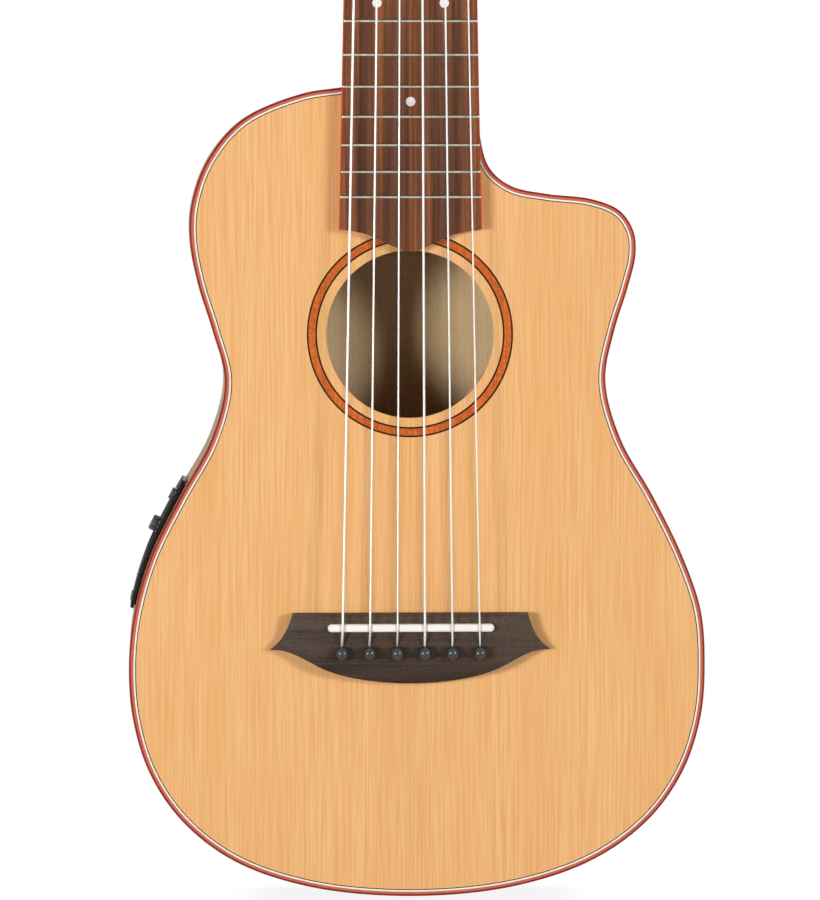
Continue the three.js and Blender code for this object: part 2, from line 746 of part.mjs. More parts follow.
const bridgeTopZ = saddleZ + bridgeLead;
const bridgeHalf = curvePoints(
  bridgeShares.topCorner,
  [bridgeShares.wing, bridgeShares.underWing, bridgeShares.belly],
  ([across, down]) => new THREE.Vector2(across * bridgeWidth, bridgeTopZ - down * bridgeLength),
);
const wingSlope = [
  [-0.5, 0], [0.5, 0], [0.5, bridgeTipHeight], [bridgeFlatShare + 0.1, bridgeTipHeight + 0.3 * bridgeHeight],
  [bridgeFlatShare, bridgeHeight], [-bridgeFlatShare, bridgeHeight],
  [-bridgeFlatShare - 0.1, bridgeTipHeight + 0.3 * bridgeHeight], [-0.5, bridgeTipHeight],
].map(([across, up]) => new THREE.Vector2(across * bridgeWidth, -up));
const bridgeAcross = new THREE.ExtrudeGeometry(new THREE.Shape(wingSlope), {
  depth: bridgeLength + 2 * overrun, bevelEnabled: false,
}).translate(0, 0, bridgeTopZ - bridgeLength - overrun);
const bridgeAlong = bar([
  [bridgeTopZ, 0], [bridgeTopZ, -bridgeHeight + bridgeChamfer], [bridgeTopZ - bridgeChamfer, -bridgeHeight],
  [bridgeTopZ - 0.75 * bridgeLength, -bridgeHeight], [bridgeTopZ - bridgeLength, -0.45 * bridgeHeight],
  [bridgeTopZ - bridgeLength, 0],
], -bridgeWidth, bridgeWidth);
const saddleSeat = -(bridgeHeight - saddleSlotDepth);
const saddleSlot = block(
  -saddleLength / 2 - glueLine, saddleLength / 2 + glueLine, -bridgeHeight - overrun, saddleSeat,
  saddleZ - saddleThickness / 2 - glueLine, saddleZ + saddleThickness / 2 + glueLine,
);
const stringSlots = stringPaths.map(({ pinX }) => solidOf(block(
  pinX - stringSlotWidth / 2, pinX + stringSlotWidth / 2,
  -bridgeHeight - overrun, -bridgeHeight + stringSlotDepth, pinZ, pinZ + stringSlotReach,
)));
addPiece('bridge', cut(
  solidOf(slab(bothHalves(bridgeHalf), -bridgeHeight - overrun, 0))
    .intersect(solidOf(bridgeAcross)).intersect(solidOf(bridgeAlong)),
  solidOf(saddleSlot),
  ...pinHoles,
  ...stringSlots,
), 'ebony');
addPiece('pickup_strip', block(
  -saddleLength / 2, saddleLength / 2, saddleSeat - pickupThickness, saddleSeat,
  saddleZ - saddleThickness / 2, saddleZ + saddleThickness / 2,
), 'steel');

const saddleTop = -stringRiseAt(saddleZ) + clearance;
const saddleCrown = saddleThickness / 2;
const saddleSection = [
  [-1, saddleSeat - pickupThickness], [1, saddleSeat - pickupThickness], [1, saddleTop + 0.8 * saddleCrown],
  [0.75, saddleTop + 0.25 * saddleCrown], [0, saddleTop], [-0.75, saddleTop + 0.25 * saddleCrown],
  [-1, saddleTop + 0.8 * saddleCrown],
].map(([across, y]) => [saddleZ + across * saddleCrown, y]);
addPiece('saddle', bar(saddleSection, -saddleLength / 2, saddleLength / 2), 'bone');

// A bridge pin: ball head, tapered shank and the flute that clears its string.
const pinHeadRise = 0.87 * pinHeadRadius;
const pinHead = Array.from({ length: pinHeadSteps }, (_, step) => {
  const angle = -Math.PI / 2 + (step / pinHeadSteps) * Math.PI * 0.86;
  return [pinHeadRadius * Math.cos(angle), -pinHeadRise + pinHeadRadius * Math.sin(angle)];
});
const pin = cut(
  solidOf(turned([
    [0, pinHead[0][1]], ...pinHead.slice(1), [pinShankRadius, -0.1 * pinHeadRadius],
    [pinShankRadius, 0], [pinTipRadius, 0.95 * pinLength], [0.6 * pinTipRadius, pinLength], [0, pinLength],
  ])),
  solidOf(block(
    -stringSlotWidth / 2, stringSlotWidth / 2, 0.01 * pinLength, pinLength + overrun, pinFlute, pinHeadRadius,
  )),
);
stringPaths.forEach(({ pinX }, index) => {
  addPiece(`bridge_pin_${index + 1}`, pin, 'blackPlastic').position.set(pinX, -bridgeHeight - glueLine, pinZ);
});

// Tuning machines: one plate a side, with a worm and a worm wheel for each string.

const plateFront = headThickness + glueLine;
const plateBack = plateFront + tunerPlateThickness;
const wormTipRadius = wormPitchRadius + toothAddendum;
const wormRootRadius = wormPitchRadius - toothDedendum;
const wormY = plateBack + clearance + wormTipRadius;
const gearPitchRadius = (gearTeeth * gearModule) / 2;
const gearTipRadius = gearPitchRadius + toothAddendum;
const gearRootRadius = gearPitchRadius - toothDedendum;
const wormLead = Math.PI * gearModule;
const wormDrop = gearPitchRadius + wormPitchRadius + meshSlack;
const toothWidth = (wormLead - toothBacklash) / 2;
const flank = Math.tan(THREE.MathUtils.degToRad(toothFlankDegrees));
const leadSlope = wormLead / (2 * Math.PI * wormPitchRadius);

// The worm wheel's teeth lean by the worm's lead across the wheel's width.
function wormWheel() {
  const pointsPerTooth = [
    [-toothWidth / 2 - flank * toothDedendum, gearRootRadius],
    [-toothWidth / 2 + flank * toothAddendum, gearTipRadius],
    [toothWidth / 2 - flank * toothAddendum, gearTipRadius],
    [toothWidth / 2 + flank * toothDedendum, gearRootRadius],
  ];
  const ring = (y) => {
    const lean = ((y - wormY) * leadSlope) / gearPitchRadius;
    return Array.from({ length: gearTeeth }, (_, tooth) => pointsPerTooth.map(([along, radius]) => {
      const angle = -Math.PI / 2 + (tooth * 2 * Math.PI) / gearTeeth + along / gearPitchRadius + lean;
      return new THREE.Vector3(radius * Math.cos(angle), y, radius * Math.sin(angle));
    })).flat().reverse();
  };
  return loft([ring(wormY - gearThickness / 2), ring(wormY + gearThickness / 2)]);
}
const postTop = -(veneerThickness + postHeight);
const post = join(
  solidOf(wormWheel()),
  solidOf(turned([
    [0, postTop], [0.8 * postRadius, postTop], [postRadius, postTop + 0.08 * postHeight],
    [postRadius, plateBack + clearance], [postHubRadius, plateBack + clearance],
    [postHubRadius, wormY + 0.6 * gearThickness], [0.5 * postHubRadius, wormY + 0.75 * gearThickness],
    [0, wormY + 0.75 * gearThickness],
  ])),
);

// The worm's thread as a helix round X, joined to its shaft and its button.
const threadStepsPerTurn = 8;
function wormThread() {
  const steps = Math.round((wormLength / wormLead) * threadStepsPerTurn);
  const section = [
    [toothWidth / 2 + flank * toothDedendum, 0.9 * wormRootRadius],
    [-toothWidth / 2 - flank * toothDedendum, 0.9 * wormRootRadius],
    [-toothWidth / 2 + flank * toothAddendum, wormTipRadius],
    [toothWidth / 2 - flank * toothAddendum, wormTipRadius],
  ];
  return loft(Array.from({ length: steps + 1 }, (_, step) => {
    const angle = ((step - steps / 2) / threadStepsPerTurn) * 2 * Math.PI;
    const place = (angle * wormLead) / (2 * Math.PI);
    return section.map(([along, radius]) => new THREE.Vector3(
      place + along, -radius * Math.sin(angle), -radius * Math.cos(angle),
    ));
  }));
}
const buttonProfileShares = [[0, 0.4], [0.15, 0.85], [0.6, 1], [0.92, 0.8], [1, 0.45]];
const buttonStart = tunerSetback + buttonReach;
const button = loft(buttonProfileShares.map(([lengthShare, sizeShare]) => (
  Array.from({ length: smallFacets }, (_, step) => {
    const angle = (step / smallFacets) * 2 * Math.PI;
    return new THREE.Vector3(
      buttonStart + lengthShare * buttonLength,
      (sizeShare * buttonThickness * Math.cos(angle)) / 2,
      (sizeShare * buttonWidth * Math.sin(angle)) / 2,
    );
  })
)));
const coreEnd = (wormLength + wormLead) / 2;
const shaftStart = -earSpread / 2 - earThickness;
const shaftEnd = buttonStart + 0.2 * buttonLength;
const worm = geometryOf(join(
  solidOf(wormThread()),
  solidOf(rodAlongX(wormRootRadius, -coreEnd, coreEnd, threadStepsPerTurn)),
  solidOf(rodAlongX(wormShaftRadius, shaftStart, shaftEnd, shaftFacets)),
  solidOf(button),
));

function tunerPlate(side) {
  const places = postPlaces.filter((place) => place.side === side);
  const lowest = Math.min(...places.map(({ z }) => z)) - wormDrop;
  const highest = Math.max(...places.map(({ z }) => z));
  const middle = places[0].x;
  const base = block(
    middle - tunerPlateWidth / 2, middle + tunerPlateWidth / 2, plateFront, plateBack,
    lowest - tunerPlateMargin / 2, highest + tunerPlateMargin,
  );
  const ears = places.flatMap(({ x, z }) => [-1, 1].map((end) => {
    const earX = x + (end * earSpread) / 2;
    return solidOf(block(
      earX - earThickness / 2, earX + earThickness / 2, plateBack - 0.5 * tunerPlateThickness,
      wormY + earWidth / 2, z - wormDrop - earWidth / 2, z - wormDrop + earWidth / 2,
    ));
  }));
  const bearing = rodAlongX(wormShaftRadius + clearance, -earSpread, earSpread, shaftFacets);
  const bearings = places.map(({ x, z }) => (
    solidOf(bearing.clone().translate(x, wormY, z - wormDrop))
  ));
  const holes = places.map(({ x, z }) => (
    solidOf(rodAlongY(postRadius + clearance, 0, 2 * headThickness, x, z))
  ));
  return cut(join(solidOf(base), ...ears), ...bearings, ...holes);
}
addPiece('tuner_plate_bass', tunerPlate(-1), 'brass', head);
addPiece('tuner_plate_treble', tunerPlate(1), 'brass', head);

const postGeometry = geometryOf(post);
postPlaces.forEach(({ side, x, z }, index) => {
  const wheel = side > 0 ? postGeometry : mirrored(postGeometry);
  addPiece(`tuner_post_${index + 1}`, wheel, 'steel', head).position.set(x, 0, z);
  const key = side > 0 ? worm : mirrored(worm);
  addPiece(`tuner_worm_${index + 1}`, key, 'pearl', head).position.set(x, wormY, z - wormDrop);
});

// Strings: from under the top, up the pin's flute, over saddle and nut, and round the post.

// A curve through given points, stepped at those points when a section is swept along it.
class Route extends THREE.Curve {
  constructor(points) {
    super();
    this.points = points;
  }

  getPoint(share) {
    return this.points[Math.round(share * (this.points.length - 1))].clone();
  }

  getSpacedPoints() {
    return this.points.map((point) => point.clone());
  }

  getTangentAt(share) {
    const index = Math.round(share * (this.points.length - 1));
    const before = this.points[Math.max(index - 1, 0)];
    const after = this.points[Math.min(index + 1, this.points.length - 1)];
    return after.clone().sub(before).normalize();
  }
}

function sweep(points, radius, facets) {
  return new THREE.ExtrudeGeometry(new THREE.Shape(circle(radius, facets)), {
    steps: points.length - 1,
    extrudePath: new Route(points),
    bevelEnabled: false,
  });
}

function windingPoints({ post: place, radius }) {
  const reach = postRadius + clearance + 1.2 * radius;
  const pitch = 2 * radius + stringTurnGap;
  const steps = stringTurns * turnFacets;
  return Array.from({ length: steps + 1 }, (_, step) => {
    const angle = (step / turnFacets) * 2 * Math.PI;
    const y = -(veneerThickness + windingStart) + (pitch * step) / turnFacets;
    return new THREE.Vector3(
      place.x - place.side * reach * Math.cos(angle), y, place.z + reach * Math.sin(angle),
    ).applyMatrix4(head.matrix);
  });
}

function stringPoints(path) {
  const { radius, nutX, saddleX, pinX } = path;
  const overNut = -stringRiseAt(0) - radius;
  const overSaddle = -stringRiseAt(saddleZ) - radius;
  const fluteZ = pinZ + pinFlute + clearance + radius;
  return [
    new THREE.Vector3(pinX, topThickness, fluteZ),
    new THREE.Vector3(pinX, -0.55 * bridgeHeight, fluteZ),
    new THREE.Vector3(pinX, -0.92 * bridgeHeight, pinZ + 0.65 * stringSlotReach),
    new THREE.Vector3(pinX, -bridgeHeight - 2.2 * radius, pinZ + stringSlotReach),
    new THREE.Vector3(saddleX, overSaddle, saddleZ - 0.3 * saddleThickness),
    new THREE.Vector3(saddleX, overSaddle, saddleZ + 0.3 * saddleThickness),
    new THREE.Vector3(nutX, overNut, 0),
    new THREE.Vector3(nutX, overNut, nutThickness),
    ...windingPoints(path),
  ];
}

// The least distance between turns of a winding, less the string's own thickness.
function leastGap(points, diameter) {
  const turns = points.slice(-(stringTurns * turnFacets + 1));
  return turns.reduce((least, point, index) => {
    const later = turns.slice(index + Math.ceil(turnFacets / 2));
    return Math.min(least, ...later.map((other) => point.distanceTo(other) - diameter));
  }, Infinity);
}

const gaps = stringPaths.map((path, index) => {
  const points = stringPoints(path);
  addPiece(`string_${index + 1}`, sweep(points, path.radius, stringFacets), 'nylon');
  return leastGap(points, 2 * path.radius);
});
console.log(`least gap between turns of a string: ${Math.min(...gaps).toFixed(2)} mm`);

// Preamp in the bass side: a housing whose panel follows the side, a battery behind a door,
// two knobs and a button.

// The point where the bass side's outline passes a height.
function bassSideAt(z) {
  const index = outline.findIndex((point, place) => {
    const next = outline[place + 1];
    return next && point.x < 0 && point.y >= z && next.y < z;
  });
  const [above, below] = [outline[index], outline[index + 1]];
  return above.clone().lerp(below, (above.y - z) / (above.y - below.y));
}
const panelChordShare = 0.4;
const panelZ = bodyTop - panelBelowTop;
const panelUp = bassSideAt(panelZ + panelChordShare * panelLength)
  .sub(bassSideAt(panelZ - panelChordShare * panelLength)).normalize();
const panelOut = new THREE.Vector2(-panelUp.y, panelUp.x);
const panelCentre = bassSideAt(panelZ);
const panelSeat = panelCentre.clone().addScaledVector(panelOut, clearance);

// The preamp's own frame: x up the side, y towards the back, z outwards.
const preamp = new THREE.Group();
preamp.position.set(panelSeat.x, panelDepthPlace, panelSeat.y);
preamp.rotation.y = Math.atan2(-panelUp.y, panelUp.x);
preamp.updateMatrix();
guitar.add(preamp);

// Corners of the bass side in that frame: how far up each lies, and how far out.
const sideCorners = outline
  .map((point) => point.clone().sub(panelCentre))
  .filter((reach) => Math.abs(reach.dot(panelUp)) < panelLength && reach.x < lowerBoutWidth / 4)
  .map((reach) => [reach.dot(panelUp), reach.dot(panelOut)])
  .reverse();
function sideRise(x) {
  const index = sideCorners.findIndex(([place]) => place >= x);
  const [[xBelow, riseBelow], [xAbove, riseAbove]] = [sideCorners[index - 1], sideCorners[index]];
  return THREE.MathUtils.mapLinear(x, xBelow, xAbove, riseBelow, riseAbove);
}

// The ends of a length up the side, and the side's corners between them.
function placesAlong(length) {
  const corners = sideCorners.map(([place]) => place).filter((place) => Math.abs(place) < length / 2);
  return [-length / 2, ...corners, length / 2];
}

// A piece between two heights over x, of a length up the side and a width across it.
function sideBar(length, width, lowerAt, upperAt, y = 0) {
  const places = placesAlong(length);
  const lower = places.map((x) => new THREE.Vector2(x, lowerAt(x)));
  const upper = places.map((x) => new THREE.Vector2(x, upperAt(x)));
  return slab([...lower, ...upper.reverse()], y - width / 2, y + width / 2);
}
const overSide = (rise) => (x) => sideRise(x) + rise;
const level = (height) => () => height;

const housingBox = (length, width, zFrom, zTo, x = 0, y = 0) => (
  block(x - length / 2, x + length / 2, y - width / 2, y + width / 2, zFrom, zTo)
);
const sideHole = housingBox(
  housingLength + 2 * clearance, housingWidth + 2 * clearance, -housingDepth, housingDepth,
).applyMatrix4(preamp.matrix);
const sideRing = slab(outline, bindingDepth, depthAtTail - bindingDepth - glueLine, [insideBinding]);
addPiece('sides', cut(solidOf(leaned(sideRing)), solidOf(sideHole), solidOf(jackHole)), 'tanwood');

// The panel's outline with its round corners, carried through the housing's depth.
function panelPrism() {
  const [halfLength, halfWidth, corner] = [panelLength / 2, panelWidth / 2, panelCornerRadius];
  const shape = new THREE.Shape();
  shape.absarc(halfLength - corner, halfWidth - corner, corner, 0, Math.PI / 2);
  shape.absarc(corner - halfLength, halfWidth - corner, corner, Math.PI / 2, Math.PI);
  shape.absarc(corner - halfLength, corner - halfWidth, corner, Math.PI, 1.5 * Math.PI);
  shape.absarc(halfLength - corner, corner - halfWidth, corner, 1.5 * Math.PI, 2 * Math.PI);
  return new THREE.ExtrudeGeometry(shape, {
    depth: 2 * housingDepth, bevelEnabled: false, curveSegments: 4,
  }).translate(0, 0, -housingDepth);
}
const panel = solidOf(sideBar(panelLength + 2 * overrun, panelWidth, overSide(0), overSide(panelThickness)))
  .intersect(solidOf(panelPrism()));
const housing = sideBar(housingLength, housingWidth, level(-housingDepth), overSide(panelThickness / 2));

// A frame for a knob or button: on the side, with z square to the side there.
const panelRow = -panelWidth / 2 + knobPitchFromEdge;
function controlFrame(drop, reach) {
  const x = panelLength / 2 - drop;
  const slope = (sideRise(x + reach) - sideRise(x - reach)) / (2 * reach);
  const frame = new THREE.Group();
  frame.position.set(x, panelRow, sideRise(x));
  frame.rotation.y = -Math.atan(slope);
  frame.updateMatrix();
  preamp.add(frame);
  return frame;
}
const volumeFrame = controlFrame(volumeKnobDrop, volumeKnobRadius);
const toneFrame = controlFrame(toneKnobDrop, toneKnobRadius);
const pushFrame = controlFrame(pushButtonDrop, pushButtonSize);

// A round rod along z.
function rodOutwards(radius, zFrom, zTo) {
  return rodAlongY(radius, zFrom, zTo).rotateX(Math.PI / 2);
}
const shaftHole = rodOutwards(
  knobShaftRadius + clearance, -knobShaftLength - clearance, panelThickness + overrun,
);
const pushHole = housingBox(
  pushButtonSize + 2 * clearance, pushButtonSize + 2 * clearance,
  -pushButtonStem - pushButtonHeight - clearance, panelThickness + overrun,
);

// The battery lies under the lowest place of the door.
const doorY = (housingWidth - batteryWidth) / 2 - 2 * clearance - glueLine;
const doorLength = batteryLength + doorMargin;
const doorWidth = batteryWidth + doorMargin;
const doorSeat = panelThickness - doorThickness;
const batteryTop = Math.min(...placesAlong(batteryLength).map(sideRise)) + doorSeat - clearance;
addPiece('preamp_housing', cut(
  join(panel, solidOf(housing)),
  solidOf(housingBox(
    batteryLength + 2 * clearance, batteryWidth + 2 * clearance,
    batteryTop - batteryThickness - 2 * clearance, panelThickness + overrun, 0, doorY,
  )),
  solidOf(sideBar(
    doorLength + 2 * clearance, doorWidth + 2 * clearance,
    overSide(doorSeat - clearance), overSide(panelThickness + overrun), doorY,
  )),
  solidOf(shaftHole.clone().applyMatrix4(volumeFrame.matrix)),
  solidOf(shaftHole.clone().applyMatrix4(toneFrame.matrix)),
  solidOf(pushHole.applyMatrix4(pushFrame.matrix)),
), 'blackPlastic', preamp);
addPiece('battery', housingBox(
  batteryLength, batteryWidth, batteryTop - batteryThickness, batteryTop, 0, doorY,
), 'battery', preamp);

// The door turns about its back edge, at the panel's face.
const door = sideBar(doorLength, doorWidth, overSide(doorSeat), overSide(panelThickness))
  .translate(0, -doorWidth / 2, -panelThickness);
addPiece('battery_door', door, 'blackPlastic', preamp).position.set(0, doorY + doorWidth / 2, panelThickness);

function knob(radius, height) {
  return turned([
    [0, -knobShaftLength], [knobShaftRadius, -knobShaftLength], [knobShaftRadius, 0], [radius, 0],
    [radius, 0.7 * height], [0.88 * radius, height], [0.5 * radius, height], [0.45 * radius, 0.85 * height],
    [0, 0.85 * height],
  ], turnedFacets).rotateX(Math.PI / 2);
}
addPiece('volume_knob', knob(volumeKnobRadius, volumeKnobHeight), 'blackPlastic', volumeFrame)
  .position.set(0, 0, panelThickness + clearance);
addPiece('tone_knob', knob(toneKnobRadius, toneKnobHeight), 'blackPlastic', toneFrame)
  .position.set(0, 0, panelThickness + clearance);
addPiece('preamp_button', housingBox(
  pushButtonSize, pushButtonSize, -pushButtonStem, panelThickness + pushButtonHeight,
), 'blackPlastic', pushFrame);

export default guitar;
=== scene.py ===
"""The travel guitar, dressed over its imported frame.

Every length is in millimetres until a mesh is published, when it is scaled to metres. The origin is
on the centreline at the nut, in the plane of the soundboard's face; +Z runs up the headstock, the
soundboard faces -Y and the treble side is at +X.
"""

import logging
import math
from dataclasses import dataclass, field
from enum import Enum
from typing import Any, Callable, Iterable, Sequence

import bmesh
import bpy
from mathutils import Matrix, Vector


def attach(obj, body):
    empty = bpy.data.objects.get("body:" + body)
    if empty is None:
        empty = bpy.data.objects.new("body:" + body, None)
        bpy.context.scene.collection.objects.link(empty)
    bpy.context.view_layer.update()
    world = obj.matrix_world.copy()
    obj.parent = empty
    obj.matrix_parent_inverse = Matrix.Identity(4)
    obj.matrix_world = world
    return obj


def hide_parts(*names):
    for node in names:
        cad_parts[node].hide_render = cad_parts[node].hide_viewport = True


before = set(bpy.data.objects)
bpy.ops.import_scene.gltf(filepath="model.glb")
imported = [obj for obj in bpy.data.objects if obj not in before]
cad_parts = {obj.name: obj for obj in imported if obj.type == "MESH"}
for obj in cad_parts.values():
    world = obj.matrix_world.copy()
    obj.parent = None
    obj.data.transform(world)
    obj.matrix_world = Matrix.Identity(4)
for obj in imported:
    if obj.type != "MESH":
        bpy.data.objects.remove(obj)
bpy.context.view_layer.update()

LOG = logging.getLogger("guitar")
MM = 0.001
Point2 = tuple[float, float]
Colour = tuple[float, float, float]


# Measures shared by the sub-assemblies.

@dataclass(frozen=True)
class Measures:
    """The instrument's leading sizes, the same as the frame's."""

    scale_length: float = 510
    saddle_compensation: float = 3.2
    string_count: int = 6
    string_diameters: tuple[float, ...] = (1.1, 0.9, 0.76, 1.02, 0.82, 0.72)
    spread_at_nut: float = 39.6
    spread_at_saddle: float = 58.4
    string_height_at_nut: float = 1.6
    string_height_at_octave: float = 3
    fret_height: float = 1
    fret_count: int = 18
    body_fret: int = 14
    nut_width: float = 47
    nut_thickness: float = 5
    board_width_at_last_fret: float = 60.1
    board_thickness: float = 6
    board_length: float = 352.89
    board_point: float = 9.4
    body_length: float = 346.8
    body_width: float = 247
    depth_at_tail: float = 72
    depth_at_neck: float = 62
    top_thickness: float = 2.6
    back_thickness: float = 2.4
    side_thickness: float = 2
    binding_depth: float = 6
    lining_depth: float = 9
    head_tilt: float = 12
    head_width: float = 74
    head_length: float = 134
    head_thickness: float = 14
    veneer_thickness: float = 1.6
    tuner_spacing: float = 38
    tuner_start: float = 32
    tuner_setback: float = 14

    def fret_drop(self, fret: float) -> float:
        """Distance of a fret below the nut."""
        return self.scale_length * (1 - 2 ** (-fret / 12))

    @property
    def body_top(self) -> float:
        """Height of the box's upper end."""
        return -self.fret_drop(self.body_fret)

    @property
    def body_bottom(self) -> float:
        """Height of the tail."""
        return self.body_top - self.body_length

    @property
    def saddle_z(self) -> float:
        """Height of the saddle."""
        return -(self.scale_length + self.saddle_compensation)

    def board_width(self, z: float) -> float:
        """Width of the fretboard at a height."""
        growth = (self.board_width_at_last_fret - self.nut_width) / self.fret_drop(self.fret_count)
        return self.nut_width - growth * z

    def string_rise(self, z: float) -> float:
        """Height of the strings' undersides above the soundboard's plane."""
        rise = self.string_height_at_octave - self.string_height_at_nut + self.fret_height
        return self.board_thickness + self.string_height_at_nut - rise / self.fret_drop(12) * z

    def string_x(self, index: int, spread: float) -> float:
        """Place of a string across the instrument."""
        return (index / (self.string_count - 1) - 0.5) * spread

    @property
    def head_frame(self) -> Matrix:
        """The headstock's own frame, tilted back behind the nut."""
        tilt = Matrix.Rotation(-math.radians(self.head_tilt), 4, "X")
        return Matrix.Translation((0, self.veneer_thickness, self.nut_thickness)) @ tilt

    def post_places(self) -> list[tuple[int, float, float]]:
        """Side, x and z of each tuning post in the headstock's frame, from string 1 to 6."""
        places = []
        for index in range(self.string_count):
            side = -1 if index < self.string_count / 2 else 1
            step = index if side < 0 else self.string_count - 1 - index
            x = side * (self.head_width / 2 - self.tuner_setback)
            places.append((side, x, self.tuner_start + step * self.tuner_spacing))
        return places


SIZE = Measures()


# Curves and outlines.

def smooth_curve(points: Sequence[Point2], steps: int) -> list[Point2]:
    """A centripetal curve through points.

    Args:
        points: the points that the curve passes.
        steps: steps between one point and the next.

    Returns:
        The points along the curve, both ends among them.
    """
    places = [Vector(point) for point in points]
    places = [2 * places[0] - places[1], *places, 2 * places[-1] - places[-2]]
    curve: list[Point2] = []
    for index in range(1, len(places) - 2):
        before, start, end, after = places[index - 1:index + 3]
        gaps = [max((b - a).length ** 0.5, 1e-6) for a, b in ((before, start), (start, end), (end, after))]
        leave = (start - before) / gaps[0] - (end - before) / (gaps[0] + gaps[1]) + (end - start) / gaps[1]
        arrive = (end - start) / gaps[1] - (after - start) / (gaps[1] + gaps[2]) + (after - end) / gaps[2]
        leave, arrive = leave * gaps[1], arrive * gaps[1]
        for step in range(steps):
            t = step / steps
            point = (start * (1 - 3 * t * t + 2 * t ** 3) + end * (3 * t * t - 2 * t ** 3)
                     + leave * (t - 2 * t * t + t ** 3) + arrive * (t ** 3 - t * t))
            curve.append((point[0], point[1]))
    curve.append(tuple(places[-2]))
    return curve


def bezier_run(start: Point2, pieces: Iterable[Sequence[Point2]], steps: int) -> list[Point2]:
    """Cubic pieces that run on from a start.

    Args:
        start: the first point.
        pieces: for each piece its two handles and its end.
        steps: steps in each piece.

    Returns:
        The points along the pieces, both ends among them.
    """
    points = [start]
    origin = Vector(start)
    for handle_1, handle_2, end in pieces:
        a, b, c = Vector(handle_1), Vector(handle_2), Vector(end)
        for step in range(1, steps + 1):
            t = step / steps
            point = (origin * (1 - t) ** 3 + a * 3 * t * (1 - t) ** 2 + b * 3 * t * t * (1 - t) + c * t ** 3)
            points.append((point[0], point[1]))
        origin = c
    return points


def both_halves(half: Sequence[Point2]) -> list[Point2]:
    """Completes half an outline at +X with its mirror."""
    return [*half, *[(-x, z) for x, z in reversed(half) if x > 1e-6]]


def inset(outline: Sequence[Point2], distance: float) -> list[Point2]:
    """Moves a closed outline inwards by a distance, with mitred corners."""
    count = len(outline)
    points = [Vector(point) for point in outline]
    area = sum(a.x * b.y - b.x * a.y for a, b in zip(points, points[1:] + points[:1]))
    turn = math.copysign(1, area)
    moved = []
    for index, point in enumerate(points):
        into = (point - points[index - 1]).normalized()
        out = (points[(index + 1) % count] - point).normalized()
        normals = [Vector((-d.y, d.x)) * turn for d in (into, out)]
        middle = (normals[0] + normals[1]).normalized()
        reach = distance / max(middle.dot(normals[0]), 0.5)
        moved.append((point.x + middle.x * reach, point.y + middle.y * reach))
    return moved


def circle(radius: float, x: float = 0, z: float = 0, count: int = 96) -> list[Point2]:
    """A circle's points."""
    turn = 2 * math.pi / count
    return [(x + radius * math.cos(turn * n), z + radius * math.sin(turn * n)) for n in range(count)]


def between(points: Sequence[Point2], x: float) -> float:
    """The height of a broken line at x, held level past its ends."""
    if x <= points[0][0]:
        return points[0][1]
    for (x0, y0), (x1, y1) in zip(points, points[1:]):
        if x <= x1:
            return y0 + (y1 - y0) * (x - x0) / (x1 - x0)
    return points[-1][1]


def rounded_box(low: Point2, high: Point2, radius: float, steps: int = 6) -> list[Point2]:
    """The outline of a rectangle with round corners, given by two of its corners."""
    centres = ((high[0] - radius, high[1] - radius), (low[0] + radius, high[1] - radius),
               (low[0] + radius, low[1] + radius), (high[0] - radius, low[1] + radius))
    points = []
    for quarter, (x, z) in enumerate(centres):
        for step in range(steps + 1):
            angle = math.radians(90 * (quarter + step / steps))
            points.append((x + radius * math.cos(angle), z + radius * math.sin(angle)))
    return points


# Outline of the box from the neck's bass edge round the tail to the cutaway corner:
# x as a share of the body's width, z as a share of its length below its top edge.
OUTLINE_SHARES: tuple[Point2, ...] = (
    (-0.112, 0.000), (-0.189, 0.009), (-0.289, 0.040), (-0.348, 0.088), (-0.377, 0.144),
    (-0.380, 0.189), (-0.366, 0.243), (-0.342, 0.298), (-0.320, 0.362), (-0.343, 0.433),
    (-0.399, 0.506), (-0.450, 0.580), (-0.479, 0.654), (-0.487, 0.717), (-0.480, 0.779),
    (-0.452, 0.845), (-0.396, 0.905), (-0.306, 0.955), (-0.173, 0.988), (0.006, 1.000),
    (0.184, 0.988), (0.321, 0.955), (0.417, 0.905), (0.476, 0.845), (0.506, 0.779),
    (0.513, 0.717), (0.506, 0.647), (0.474, 0.580), (0.423, 0.506), (0.365, 0.433),
    (0.339, 0.362), (0.354, 0.301), (0.378, 0.246), (0.391, 0.206), (0.387, 0.177),
    (0.363, 0.152), (0.316, 0.138), (0.235, 0.131), (0.176, 0.122), (0.139, 0.101),
    (0.123, 0.068), (0.118, 0.000),
)


def body_outline(steps: int) -> list[Point2]:
    """The outline of the box, with a number of steps from each of its points to the next."""
    points = [(x * SIZE.body_width, SIZE.body_top - z * SIZE.body_length) for x, z in OUTLINE_SHARES]
    widest = max(x for x, _ in smooth_curve(points, 2))
    return [(min(x, widest), z) for x, z in smooth_curve(points, steps)]


# Mesh work.

